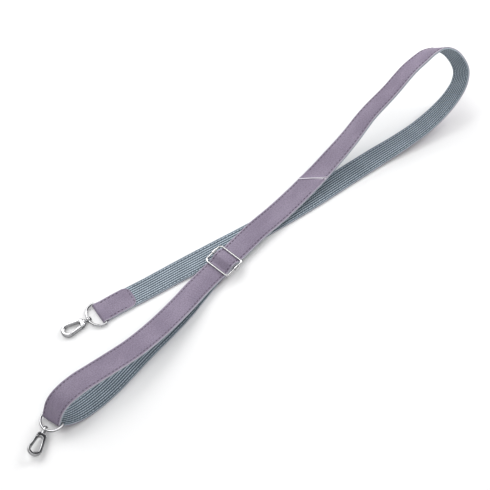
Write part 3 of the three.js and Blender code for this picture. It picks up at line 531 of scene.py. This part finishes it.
leather_half = np.array([0, 2.5, 5, 7.3, 8.8, 9.5, 9.8, 10.1, 10.4, 10.7, 11.3, 11.9, 12.2, 12.4]) * mm
leather_top = np.concatenate([leather_half[::-1], -leather_half[1:]])
leather_across = np.concatenate([
    np.linspace(-12.3, 12.3, 11) * mm, [half_width] * 2, leather_top, [-half_width] * 2])
rounding = np.maximum(np.abs(leather_top) - (half_width - leather_round), 0)
groove_shape = np.exp(-(((np.abs(leather_top) - seam_at) / (0.35 * mm)) ** 2))
crown_shape = np.maximum(1 - (leather_top / (9.3 * mm)) ** 2, 0)
leather_lift = np.concatenate([
    [0] * 11, [leather_foot, leather_thickness - leather_round],
    leather_thickness - leather_round + np.sqrt(leather_round**2 - rounding**2)
    - seam_depth * groove_shape + crown * crown_shape,
    [leather_thickness - leather_round, leather_foot],
]) - leather_thickness / 2
top_columns = leather_lift > 0
wrinkles = np.random.default_rng(7)
wrinkle_waves = wrinkles.uniform([2.2, -9, 0, 0.4], [5.5, 9, 6.28, 1], (14, 4))


wrinkle_height = 0.35 * mm
wrinkle_middle = run_at["pass end"] + 30 * mm
wrinkle_reach = 26 * mm


def wrinkle(run):
    """Fine creases across the leather: a sum of slanted sines that fades with distance from their middle."""
    length, slant, phase, weight = wrinkle_waves.T[..., None, None]
    waves = weight * np.sin(2 * np.pi * (run + slant * leather_across / 30) / (length * mm) + phase)
    fade = np.exp(-(((run - wrinkle_middle) / wrinkle_reach) ** 2))
    return wrinkle_height * (waves.sum(0) * fade / len(wrinkle_waves))


slant_fade = 30 * mm
splice_slant = -0.88
splice_lap = 6 * mm
splice_rise = 1.0 * mm
splice_skive = 0.35 * mm


def smooth_step(value):
    """3 v^2 - 2 v^3 of a value held between 0 and 1."""
    value = np.clip(value, 0, 1)
    return value * value * (3 - 2 * value)


def leather_rows(start, stop, slant_start=0.0, slant_stop=0.0, step=leather_step):
    """Rings of leather on the route. A slant runs an end askew across the width and fades along it. An end
    that is slanted is part of the splice: the first length climbs over the thinned start of the second."""
    run = np.linspace(start, stop, round((stop - start) / step))[:, None]
    slant = slant_start * np.maximum(0, 1 - (run - start) / slant_fade)
    slant = slant + slant_stop * np.maximum(0, 1 - (stop - run) / slant_fade)
    lapped = (run - stop + splice_lap) / splice_lap
    climb = splice_rise * smooth_step(lapped / 0.8) * (slant_stop != 0)
    thin = splice_skive * smooth_step(lapped) * (slant_stop != 0)
    under = smooth_step(1 - (run - start) / (splice_lap * 1.2)) * (slant_start != 0)
    thin = thin + (leather_thickness - leather_foot) * under
    lift = leather_offset + leather_lift + climb + (wrinkle(run) - thin) * top_columns
    return on_route(run + slant * leather_across, leather_across, lift), pairs(run, leather_across)


def finish_leather(name, grids):
    """Leather from a list of ring grids that follow each other. The faces between its two pairs of columns
    at one place across are the cut sides, and look like the end faces."""
    points, along = [np.concatenate(arrays) for arrays in zip(*grids)]
    piece = make_piece(name, [(points, along, False)], [leather_look, edge_look], 50)
    on_edge = np.tile(leather_across == np.roll(leather_across, -1), len(points) - 1)
    piece.data.polygons.foreach_set("material_index", np.append(on_edge, [1, 1]).astype(np.int32))
    return piece


tab_length = 41 * mm
tab_corner = 8 * mm
tab_settle = 8 * mm
tab_offset = -(strap_thickness + leather_thickness) / 2 - bond_gap
hook_a_raised = hook_a_place[2] + wrap_radius - floor_level
tab_run = np.concatenate([
    tab_length - tab_corner * (1 - np.cos(np.linspace(0, quarter, 10))),
    np.arange(tab_length - tab_corner - 1 * mm, 0.2 * mm, -0.5 * mm),
])[:, None]
tab_past = np.maximum(0, tab_run - (tab_length - tab_corner) - 0.01 * mm)
tab_scale = 1 - (tab_corner - np.sqrt(tab_corner**2 - tab_past**2)) / half_width
tab_lift = -hook_a_raised + (tab_offset + hook_a_raised) * smooth_step(tab_run / tab_settle) - leather_lift
tab_rows = on_route(tab_run, leather_across * tab_scale, tab_lift), pairs(-tab_run, leather_across)
turn = np.linspace(quarter, -quarter, 25)[:, None, None]
radial = np.cos(turn) * hook_a_out + np.sin(turn) * up
wrap_points = hook_a_place - lay_middle + radial * (wrap_radius + leather_lift)[:, None]
wrap_points = wrap_points + leather_across[:, None] * hook_a_line
wrap_rows = wrap_points, pairs((quarter - turn[:, 0]) * wrap_radius, leather_across)
long_rows = leather_rows(0.4 * mm, splice_run + 1 * mm, 0, splice_slant)
piece = finish_leather("leather_long", [tab_rows, wrap_rows, long_rows])
rig(piece, ["strap"], ["long_run_facing", "far_loop_facing", "return_run_facing"])
crossing_rows = leather_rows(splice_run - splice_lap, run_at["lead start"], splice_slant, 0)
rig(finish_leather("leather_crossing", [crossing_rows]), ["strap"], ["crossing_facing"])
leather_steps = {"hump": 0.4 * mm, "tail": 0.5 * mm, "hook_loop": 0.5 * mm}
for name, first, last, bodies, stems in stretches[1:]:
    first, last = run_at[first], run_at[last]
    rows = leather_rows(first, last, step=leather_steps.get(name, leather_step))
    piece = finish_leather("leather_" + name, [rows])
    rig(piece, bodies, [stem + "_facing" for stem in stems], (first, last))

# Stitching: two rows of lockstitch hold leather and webbing together, plum thread on the leather and grey
# on the webbing. Each stitch dips into its hole at both ends. The tab has a row across its end as well.
stitch_pitch = 4.6 * mm
stitch_length = 2.9 * mm
thread_radius = 0.36 * mm
thread_sides = 6
ply_length = 0.9 * mm
stitch_shares = np.array([0, 0.15, 0.5, 0.85, 1])
stitch_swell = np.array([0.45, 0.9, 1, 0.9, 0.45])
stitch_rise = np.array([-0.35, 0.08, 0.2, 0.08, -0.35]) * mm


def thread_material(name, body, dark):
    """Twisted thread: slanted plies along the stitch, lighter on their crowns and darker between them, which
    is painted shade.
    """
    material, shader = start_material(name, body, 0.6)
    where, run_out, across_out = along_across(shader)
    twist = calc("MULTIPLY_ADD", across_out, 2.0, calc("DIVIDE", run_out, ply_length))
    ply = calc("SINE", calc("MULTIPLY", twist, 2 * np.pi))
    # Painted shade: the thread darkens between its plies.
    feed(shader.inputs["Base Color"], mix(ramp(ply, -0.8, 0.6), dark, body))
    bump(shader, ply, 0.05 * mm)
    return material


plum_thread = thread_material("plum_thread", tint(0x41364A), tint(0x241E2C))
grey_thread = thread_material("grey_thread", tint(0x8A959F), tint(0x4B5661))


def stitches(first, reach, level, side):
    """Stitches on the strap from (run, across) points, each with the same (run, across) reach: five rings
    each, at a level above its middle, rising towards `side` (1 on the leather, -1 on the webbing)."""
    reach = np.array(reach)
    middle = first[:, None] + reach * stitch_shares[:, None]
    heading = unit(reach)
    angle = 2 * np.pi * np.arange(thread_sides) / thread_sides * side
    radius = thread_radius * stitch_swell[:, None]
    sideways = radius * np.cos(angle)
    run = middle[..., 0, None] - heading[1] * sideways
    across = middle[..., 1, None] + heading[0] * sideways
    points = on_route(run, across, level + side * stitch_rise[:, None] + radius * np.sin(angle))
    length = np.linalg.norm(reach) * stitch_shares[:, None]
    return points, np.broadcast_to(pairs(length, angle / (2 * np.pi)), points.shape[:-1] + (2,)), False


def edge_rows(begin):
    """The (run, across) starts of both edge rows, from the runs where their stitches begin."""
    return np.concatenate([pairs(begin, at) for at in (-seam_at, seam_at)])


def seam(start, stop, level, side):
    """Both edge rows of stitches whose starts lie between two runs. Stitches are set from the first run of
    the strap on, so that stretches which meet share one rhythm."""
    begin = np.arange(np.ceil(start / stitch_pitch), np.ceil(stop / stitch_pitch)) * stitch_pitch
    return stitches(edge_rows(begin), [stitch_length, 0], level, side)


leather_level = strap_thickness / 2 - seam_depth
webbing_level = -strap_thickness / 2 + rib_height * 0.6


def stitch(name, start, stop, bodies, bend=(), extra=(), back_from=0.0):
    """The threads of one stretch, on its leather and on its webbing."""
    front = [seam(start, stop, leather_level, 1), *extra]
    back = [seam(max(start, back_from), stop, webbing_level, -1)]
    rig(make_piece("stitching_" + name, front, [plum_thread], 80), bodies, (), bend)
    rig(make_piece("back_stitching_" + name, back, [grey_thread], 80), bodies, (), bend)


tab_level = tab_offset - leather_thickness / 2 + seam_depth
end_across = np.arange(-1.5, 2) * stitch_pitch - stitch_length / 2
tab_stitches = [
    stitches(edge_rows(np.arange(1.5, 6.5) * stitch_pitch), [stitch_length, 0], tab_level, -1),
    stitches(pairs(tab_length - 2.6 * mm, end_across), [0, stitch_length], tab_level, -1),
]
stitch("long", 8 * mm, splice_run - 8 * mm, ["strap"], (), tab_stitches, tab_length + 2 * mm)
stitch("crossing", splice_run + 12 * mm, run_at["lead start"], ["strap"])
for name, first, last, bodies, stems in stretches[1:]:
    first, last = run_at[first], run_at[last]
    stitch(name, first, min(last, run_at["webbing stop"] - stitch_pitch), bodies, (first, last))

# Sewn end: past the webbing's end the leather alone goes under the slider's bar, round it, and back on
# top of itself, where it is stitched across.


def arc(centre, first, second, radius, start, stop, steps=12):
    """Points centre + radius * (cos a first + sin a second), for a from start to stop in radians."""
    angle = np.linspace(start, stop, steps)[:, None]
    return centre + radius * (np.cos(angle) * first + np.sin(angle) * second)


def at_slider(reach, level):
    """A point above the middle of the slider's straight, at a reach from its bar."""
    return (slider_place + reach * slide_along + level * up - lay_middle)[None]


def carried(middle, width, across, lift, scale=1.0):
    """Rings of a section carried along a path: middle + across * width + lift * (travel x width)."""
    travel = unit(np.gradient(middle, axis=0))
    facing = unit(np.cross(travel, width))
    scale = np.broadcast_to(scale, (len(middle), 1))[..., None]
    points = middle[:, None] + across[:, None] * scale * width + lift[:, None] * facing[:, None]
    return points, pairs(distances(middle)[:, None], across)


def evened(points, step):
    """The same path with its points set at even distances."""
    run = distances(points)
    at = np.linspace(0, run[-1], round(run[-1] / step))
    return np.stack([np.interp(at, run, column) for column in points.T], -1)


doubled_reach = 16.5 * mm
path_step = 0.3 * mm
upper_radius = under_wire_radius + hump_to_upper
lower_radius = upper_radius + leather_thickness + bond_gap
upper_slope, lower_slope = [
    touch_slope(tail_wire_reach - bar_shoulder, wire_above - bar_above, first, second)
    for first, second in ((bar_leather_radius, upper_radius), (-bar_leather_radius, lower_radius))
]
tail_wire = at_slider(tail_wire_reach, wire_level)
near_edge, far_edge = at_slider(bar_shoulder, bar_level), at_slider(-bar_shoulder, bar_level)
sewn_path = np.concatenate([
    at_slider(sewn_join, wire_level - lower_radius),
    arc(tail_wire, -slide_along, up, lower_radius, -quarter, lower_slope - quarter),
    at_slider(bar_shoulder, bar_level - bar_leather_radius),
    arc(far_edge, -slide_along, up, bar_leather_radius, -quarter, quarter),
    arc(near_edge, -slide_along, up, bar_leather_radius, quarter, quarter + upper_slope),
    arc(tail_wire, -slide_along, up, upper_radius, upper_slope - quarter, -quarter),
    at_slider(doubled_reach, wire_level - upper_radius),
])
sewn_lift = np.minimum(leather_lift, leather_thickness / 2)
sewn_rows = carried(evened(sewn_path, path_step), slide_across, leather_across, sewn_lift)
rig(finish_leather("sewn_end_leather", [sewn_rows]), ["slider_run"], ["sewn_end"])

# Slider frame: one round wire bent to a rectangle with rounded corners and nickel plated and polished.


def polished_metal(name, tone, shine, rim):
    """Plated metal: faint clouds in its roughness, hairline scratches and a little unevenness. What it
    reflects at a glancing angle is dimmed to the share `rim`."""
    material, shader = start_material(
        name, tone, shine, ("Metallic", 1), ("Specular Tint", (rim, rim, rim, 1)))
    place = shader.id_data.nodes.new("ShaderNodeTexCoord").outputs["Object"]
    cloud = noise(place, 6 * mm, 3.0)
    scratch = noise(place, 0.35 * mm, 2.0, 0.6, (0.12, 1, 1))
    dark = tuple(0.8 * part for part in tone)
    feed(shader.inputs["Base Color"], mix(ramp(cloud, 0.35, 0.75, 0.0, 0.5), tone, dark))
    rough = calc("MULTIPLY_ADD", scratch, 0.06, ramp(cloud, 0.3, 0.7, shine * 0.6, shine * 1.3))
    feed(shader.inputs["Roughness"], rough)
    bump(shader, scratch, 0.002 * mm)
    return material


# The slider takes a lighter copy of the hooks' and rings' nickel: its paler tone and less dimmed glancing
# reflections paint in the brightness that light gives its wires.
slider_lighter_nickel = polished_metal("slider_nickel_painted_lighter", (0.74, 0.74, 0.74), 0.16, 0.6)
nickel_look = polished_metal("polished_nickel", (0.54, 0.54, 0.55), 0.13, 0.08)
steel_look = polished_metal("spring_steel", (0.32, 0.33, 0.35), 0.3, 0.3)


def round_wire(path, radius, sides, joined=False):
    """A round wire on a path that is level or nearly so: rings of radius (cos a side + sin a up), where
    side = up x travel."""
    before = np.roll(path, 1, 0) if joined else np.concatenate([path[:1], path[:-1]])
    after = np.roll(path, -1, 0) if joined else np.concatenate([path[1:], path[-1:]])
    side = unit(np.cross(up, after - before))
    angle = 2 * np.pi * np.arange(sides)[:, None] / sides
    points = path[:, None] + radius * (np.cos(angle) * side[:, None] + np.sin(angle) * up)
    return points, pairs(np.arange(len(path))[:, None] * radius, angle[:, 0] * radius), joined


side_wire_at = half_width + 1.2 * mm + wire_radius + rolled_end_gap + bar_thickness
slider_corner = 3.6 * mm
frame_middle = at_slider(bar_from_middle, wire_level)
frame_path = np.concatenate([
    arc(
        frame_middle + fore * (end_wire_at - slider_corner) * slide_along
        + side * (side_wire_at - slider_corner) * slide_across,
        slide_along, slide_across, slider_corner, turns * quarter, (turns + 1) * quarter,
    )
    for turns, (fore, side) in enumerate([(1, 1), (-1, 1), (-1, -1), (1, -1)])
])
piece = make_piece("slider_wire_frame", [round_wire(frame_path, wire_radius, 28, True)], [slider_lighter_nickel])
rig(piece, ["slider_hoop"], ["slider_frame"])

# Slider bar: a flat plate across the frame, its wider ends rolled round the frame's side wires.
rolled_turn = np.radians(240)
rolled_width = 5.8 * mm
rolled_middle = wire_radius + rolled_end_gap + bar_thickness / 2
bar_round = 0.28 * mm
bar_middle = at_slider(0, wire_level)
side_wire = side_wire_at * slide_across
bar_path = evened(np.concatenate([
    arc(bar_middle + side_wire, slide_across, up, rolled_middle, rolled_turn - quarter, -quarter, 40),
    arc(bar_middle - side_wire, -slide_across, up, rolled_middle, -quarter, rolled_turn - quarter, 40),
]), path_step)
corner = np.linspace(0, quarter, 5)
corner = np.stack([np.cos(corner), np.sin(corner)]) * bar_round
corner = corner + np.array([[bar_width / 2 - bar_round], [bar_thickness / 2 - bar_round]])
back_corner = corner[:, ::-1]
bar_across, bar_lift = np.concatenate(
    [back_corner * [[1], [-1]], corner, back_corner * [[-1], [1]], -corner], axis=1)
from_rolled = np.abs((bar_path - bar_middle) @ slide_across) - side_wire_at
bar_scale = 1 + (rolled_width / bar_width - 1) * smooth_step((from_rolled + 3.1 * mm) / (1.4 * mm))
bar_rows = carried(bar_path, slide_along, bar_across, bar_lift, bar_scale[:, None])
piece = make_piece("slider_bar_plate", [(*bar_rows, False)], [slider_lighter_nickel], 50)
rig(piece, ["slider_run"], ["slider_bar"])

# D-rings: a straight bar that the strap turns round, and a bow of the same wire that ends in a turned
# boss, the seat of the hook's swivel. Sizes run outwards from the middle of the bar.
ring_half = 14.3 * mm
ring_depth = 14.5 * mm
ring_corner = 1.6 * mm
boss_radius = 2.5 * mm
boss_hole = 1.7 * mm
boss_half = 1.35 * mm
boss_fillet = 0.25 * mm
wire_end = 1.95 * mm
ahead, aside = np.array([1.0, 0, 0]), np.array([0, 1.0, 0])


def turned(profile, sides=40, joined=False):
    """A turned body on the X axis from (along, radius) pairs: (x, r cos a, r sin a)."""
    angle = 2 * np.pi * np.arange(sides) / sides
    x, radius = profile[:, :1], profile[:, 1:]
    points = np.stack(np.broadcast_arrays(x, radius * np.cos(angle), radius * np.sin(angle)), -1)
    return points, pairs(x, angle * boss_radius), joined


def filleted(corners, radius, steps=5):
    """A closed outline with its corners rounded: each corner becomes a quadratic curve between the points
    a radius before and after it."""
    share = np.linspace(0, 1, steps)[:, None]
    rounds = []
    for before, here, after in zip(np.roll(corners, 1, 0), corners, np.roll(corners, -1, 0)):
        start, stop = here + radius * unit(before - here), here + radius * unit(after - here)
        rounds.append((1 - share) ** 2 * start + 2 * share * (1 - share) * here + share**2 * stop)
    return np.concatenate(rounds)


bow = np.linspace(np.arcsin(wire_end / ring_half), quarter, 36)[:, None]
bow = (ring_corner + (ring_depth - ring_corner) * np.cos(bow)) * ahead + ring_half * np.sin(bow) * aside
bend_middle = ring_corner * ahead + (ring_half - ring_corner) * aside
corner_bend = arc(bend_middle, ahead, aside, ring_corner, quarter, 2 * quarter, 8)
half_ring = np.concatenate([bow, corner_bend[1:], [[0, y * mm, 0] for y in (10, 6, 2)]])
ring_path = np.concatenate([half_ring, half_ring[::-1] * [1, -1, 1]])
boss_profile = filleted(np.array([
    (ring_depth - boss_half, boss_hole), (ring_depth - boss_half, boss_radius),
    (ring_depth + boss_half, boss_radius), (ring_depth + boss_half, boss_hole),
]), boss_fillet)[::-1]


def based(first, second, place):
    """A matrix whose first two axes are given, and whose origin is a place of the lay."""
    matrix = np.eye(4)
    matrix[:3] = np.stack([first, second, np.cross(first, second), place - lay_middle], -1)
    return Matrix(matrix.tolist())


ring_b_pitch, hook_b_turn = np.radians([-8, 15])
ring_b_out = np.cos(ring_b_pitch) * hook_b_out + np.sin(ring_b_pitch) * hook_b_raised
hook_b_outwards = direction(206.5, 2)
hook_b_level = unit(np.cross(hook_b_outwards, up))
hook_b_raise = np.cross(hook_b_level, hook_b_outwards)
hook_b_side = np.cos(hook_b_turn) * hook_b_level + np.sin(hook_b_turn) * hook_b_raise
matrix_a = based(hook_a_out, hook_a_line, hook_a_place)
matrix_ring_b = based(ring_b_out, hook_b_line, hook_b_place)
matrix_b = based(hook_b_outwards, hook_b_side, hook_b_place + ring_depth * (ring_b_out - hook_b_outwards))
for letter, matrix in (("a", matrix_a), ("b", matrix_ring_b)):
    parts = [round_wire(ring_path, ring_radius, 28), turned(boss_profile, 44, True)]
    piece = make_piece(f"d_ring_{letter}_wire", parts, [nickel_look], 60)
    piece.data.transform(matrix)
    rig(piece, [f"ring_{letter}"], [f"d_ring_{letter}"])

# Gate hooks: a cast teardrop with a long eye on a turned collar, and a gate that is a stretch of one limb,
# hinged on a pin in the forked base and closed by a small coil spring. Sizes run from the D-ring's bar.
collar_start = ring_depth + ring_radius + 1 * mm
hook_length = 29.6 * mm
nose_radius = 7.7 * mm
hook_half_thickness = 2.4 * mm
hook_rim = 1.4 * mm
shoulder_at, shoulder_half = 4.4 * mm, 5.3 * mm
base_at, base_half = 2.6 * mm, 3.2 * mm
limb_width = 3.6 * mm
eye_start, eye_start_radius = 7.6 * mm, 2.4 * mm
eye_radius = nose_radius - limb_width
nose_at = hook_length - nose_radius
eye_at = hook_length - 4.2 * mm - eye_radius
gate_slope = touch_slope(nose_at - shoulder_at, shoulder_half, 0, nose_radius)
gate_pin_at = 6.6 * mm
gate_start, gate_start_slant, gate_tip, gate_lap, gate_reach = np.array([2, 0.7, 15.4, 1.6, 2.6]) * mm
knuckle_radius, knuckle_thickness = 1.75 * mm, 1.6 * mm
fork_gap, fork_width = 0.35 * mm, 3.6 * mm
pin_radius, pin_hole, pin_length = 0.7 * mm, 0.8 * mm, 4.5 * mm
tongue_half = 1.3 * mm
outline_step = 0.1 * mm
gate_pin = np.array([
    collar_start + gate_pin_at,
    shoulder_half + (gate_pin_at - shoulder_at) * np.tan(gate_slope) - limb_width / 2 / np.cos(gate_slope),
    0,
])
gate_along = np.array([np.cos(gate_slope), np.sin(gate_slope), 0])
gate_across = np.array([-np.sin(gate_slope), np.cos(gate_slope), 0])
hook_centre = collar_start + 17 * mm


def polar(half, angle, ease):
    """Radius at angles about the hook's centre of an outline, given by its upper half from the collar end
    to the nose and closed by its mirror image, with its corners eased over a distance."""
    even = evened(np.concatenate([half, half[::-1] * [1, -1], half[:1]]), outline_step)[:-1]
    samples = int(ease / outline_step) | 1
    wrapped = np.concatenate([even[-samples:], even, even[:samples]])
    even = eased(wrapped, samples)[samples:-samples] - [hook_centre, 0]
    at = np.arctan2(even[:, 1], even[:, 0])
    order = np.argsort(at)
    return np.interp(angle, at[order], np.hypot(*even.T)[order], period=2 * np.pi)


def disc(centre_at, radius, start, stop):
    """Sixty points of an arc about a point of the hook's midline, from one angle to another."""
    angle = np.linspace(start, stop, 60)
    return np.array([collar_start + centre_at, 0]) + radius * pairs(np.cos(angle), np.sin(angle))


base_points = np.array([(base_at, 0), (base_at, base_half), (shoulder_at, shoulder_half)])
outer_half = np.concatenate([
    base_points + [collar_start, 0], disc(nose_at, nose_radius, quarter + gate_slope, 0)])
eye_first = eye_start + eye_start_radius
eye_touch = quarter + np.arcsin((eye_radius - eye_start_radius) / (eye_at - eye_first))
eye_half = np.concatenate([
    disc(eye_first, eye_start_radius, 2 * quarter, eye_touch), disc(eye_at, eye_radius, eye_touch, 0)])


def teardrop():
    """The hook's plate as one closed ring of sections. At each angle about its centre a section lies between
    the eye and the outline: a rectangle of the plate's thickness with quarter-round corners."""
    angle = np.linspace(-np.pi, np.pi, 240, endpoint=False)
    outer, inner = polar(outer_half, angle, 1.2 * mm), polar(eye_half, angle, 0.5 * mm)
    middle, half = (outer + inner)[:, None] / 2, (outer - inner)[:, None] / 2
    turn = np.linspace(0, quarter, 7)
    rim = np.minimum(hook_rim, half * 0.98)
    reach, rise = half - rim + rim * np.cos(turn), hook_half_thickness - rim + rim * np.sin(turn)
    radial = np.concatenate([reach, -reach[:, ::-1], -reach, reach[:, ::-1]], 1) + middle
    height = np.concatenate([rise, rise[:, ::-1], -rise, -rise[:, ::-1]], 1)
    angle = angle[:, None]
    points = np.stack([hook_centre + radial * np.cos(angle), radial * np.sin(angle), height], -1)
    return points[::-1], pairs(radial, height)[::-1], True


def gate_prism(corners, low, high):
    """A prism between two heights, of an outline whose (along, across) corners are told from the gate's
    pin, along the limb and across it."""
    along, across = np.array(corners).T[..., None]
    base = gate_pin + along * gate_along + across * gate_across
    grid = np.stack([base + low * up, base + high * up])
    return grid, grid[..., :2], False


def upright(radius, low, high, sides=40, rounded=0.0):
    """A round upright bar on the gate's pin, with its end edges rounded."""
    turn = np.linspace(0, quarter, 6) if rounded else np.array([quarter])
    rise, inset = rounded * (1 - np.cos(turn)), rounded * (1 - np.sin(turn))
    heights = np.concatenate([low + rise, high - rise[::-1]])
    radii = radius - np.concatenate([inset, inset[::-1]])
    angle = 2 * np.pi * np.arange(sides) / sides
    ring = np.stack([np.cos(angle), np.sin(angle), 0 * angle], -1)
    points = gate_pin + radii[:, None, None] * ring + heights[:, None, None] * up
    return points, pairs(heights[:, None], angle * radius), False


def combine(name, first, steps):
    """Joins, cuts or intersects closed shells in turn, and gives the result as one mesh."""
    body = make_piece(name, [first], [nickel_look])
    helpers = [make_piece("helper", [shell], [nickel_look]) for operation, shell in steps]
    for helper, (operation, shell) in zip(helpers, steps):
        modifier = body.modifiers.new(operation, "BOOLEAN")
        modifier.operation, modifier.solver, modifier.object = operation, "EXACT", helper
    bevel = body.modifiers.new("eased edges", "BEVEL")
    bevel.width, bevel.segments, bevel.limit_method, bevel.angle_limit = 0.12 * mm, 2, "ANGLE", np.radians(50)
    mesh = bpy.data.meshes.new_from_object(body.evaluated_get(bpy.context.evaluated_depsgraph_get()))
    mesh.name = name
    for extra in (body, *helpers):
        bpy.data.objects.remove(extra)
    mesh.set_sharp_from_angle(angle=np.radians(45))
    return mesh


def limb_part(grow, slant):
    """Corners of the stretch of limb that the gate takes up, grown by a clearance; its tip is lapped."""
    tip, lap = gate_tip + grow, gate_tip - gate_lap + grow
    return [
        (gate_start - grow, gate_reach), (gate_start - grow - slant, -gate_reach),
        (tip, -gate_reach), (tip, grow), (lap, grow), (lap, gate_reach),
    ]


def beam(half, stop):
    """Corners of a straight beam from the gate's pin to a distance along the limb."""
    return [(0, half), (0, -half), (stop, -half), (stop, half)]


collar_profile = np.array([
    (0, 1.3), (0, 2), (0.12, 2.3), (0.4, 2.5), (1.15, 2.5), (1.3, 2.25), (1.5, 2.2), (1.7, 2.25),
    (1.85, 2.5), (3.4, 2.5), (4.2, 2.1),
]) * mm + [collar_start, 0]
fork_radius = knuckle_radius + fork_gap
fork_half = fork_width / 2
far = 3 * hook_half_thickness
body_mesh = combine("gate_hook_body", teardrop(), [
    ("UNION", turned(collar_profile, 48)),
    ("DIFFERENCE", gate_prism(limb_part(play, gate_start_slant), -far, far)),
    ("DIFFERENCE", gate_prism(beam(fork_radius, gate_start), -fork_half, fork_half)),
    ("DIFFERENCE", upright(fork_radius, -fork_half, fork_half)),
    ("DIFFERENCE", upright(pin_hole, -far, far)),
])
tongue_low = play - fork_half
tongue_high = tongue_low + knuckle_thickness
gate_mesh = combine("gate", teardrop(), [
    ("INTERSECT", gate_prism(limb_part(0, 0), -far, far)),
    ("UNION", gate_prism(beam(tongue_half, gate_start + tongue_half), tongue_low, tongue_high)),
    ("UNION", upright(knuckle_radius, tongue_low, tongue_high)),
    ("DIFFERENCE", upright(pin_hole, -far, far)),
])
spring_turns = 1.75
spring_rise, spring_radius, spring_leg, spring_wire = np.array([1.05, 1.2, 1, 0.15]) * mm
spin = np.linspace(0, spring_turns * 4 * quarter, 60)[:, None]
coil = gate_pin + spring_radius * (np.cos(spin) * ahead + np.sin(spin) * aside)
coil = coil + (tongue_high + play + spring_wire + spring_rise * spin / spin[-1]) * up
legs = coil[[0, -1]] + spring_leg * unit((coil[[0, -1]] - coil[[1, -2]]) * [1, 1, 0])
coil = np.concatenate([legs[:1], coil, legs[1:]])
head_end = ring_depth - ring_radius - 1.25 * mm
post_profile = np.concatenate([
    np.array([(-1.2, 0.7), (-1.1, 1.4), (-0.85, 1.95), (-0.5, 2.2), (-0.15, 2.2), (0, 2.05), (0, 1)]) * mm
    + [head_end, 0],
    [(collar_start + 2.1 * mm, 1 * mm)],
])
pin_shell = upright(pin_radius, -pin_length / 2, pin_length / 2, 32, 0.25 * mm)
for letter, matrix in (("a", matrix_a), ("b", matrix_b)):
    hook = f"hook_{letter}"
    body = show(hook + "_body_cast", body_mesh.copy())
    gate = show(hook + "_gate_cast", gate_mesh.copy())
    post = make_piece(hook + "_swivel_post_fine", [turned(post_profile)], [nickel_look])
    pin = make_piece(hook + "_gate_pin_fine", [pin_shell], [nickel_look])
    spring = make_piece(hook + "_gate_spring_fine", [round_wire(coil, spring_wire, 12)], [steel_look])
    for piece in (body, gate, post, pin, spring):
        piece.data.transform(matrix)
    rig(body, [hook], [hook + "_body"])
    rig(gate, [f"gate_{letter}"], [hook + "_gate"])
    rig(post, [hook], [hook + "_swivel_post"])
    rig(pin, [hook], [hook + "_gate_pin"])
    rig(spring, [hook], [hook + "_gate_spring"])

# Table: a plain pale top that fades out of the picture.
table_look = start_material("pale_table", (0.9, 0.9, 0.9), 0.6)[0]
table_corners = [(-3, -3), (3, -3), (3, 3), (-3, 3)]
table_grid = np.array([[(x, y, z) for x, y in table_corners] for z in (-0.02, 0)])
make_piece("table", [(table_grid, np.zeros((2, 4, 2)), False)], [table_look])

# Light: a large soft lamp from the upper left of the picture and a weaker one from the right and behind, in
# a white overhead room that is dark low down and in one patch, which gives the metal its dark reflections.


def lamp(name, azimuth, elevation, distance, size, power):
    """A square area lamp that points at the strap's middle."""
    data = bpy.data.lights.new(name, "AREA")
    data.shape, data.size, data.energy = "SQUARE", size, power
    aim(name, data, np.zeros(3), direction(azimuth, elevation), distance)


lamp("key_lamp", 90, 40, 3.4, 3.4, 76)
lamp("fill_lamp", 0, 30, 2.8, 1.6, 42)

room = bpy.data.worlds.new("pale_room")
room.use_nodes = True
looking = room.node_tree.nodes.new("ShaderNodeTexCoord").outputs["Generated"]
patch_edge, patch_core = np.cos(np.radians([30, 18]))
patch_inputs = [(0, looking), (1, direction(-2, 62))]
facing_patch = node("VectorMath", patch_inputs, operation="DOT_PRODUCT")["Value"]
low_room = ramp(node("SeparateXYZ", [(0, looking)])[2], 0.78, 0.45)
dark = calc("MAXIMUM", low_room, ramp(facing_patch, patch_edge, patch_core))
background = room.node_tree.nodes["Background"]
feed(background.inputs[0], mix(dark, (1.0, 1.0, 1.0), (0.05, 0.05, 0.055)))
background.inputs[1].default_value = 1.3
bpy.context.scene.world = room
bpy.context.scene.view_settings.view_transform = "Standard"
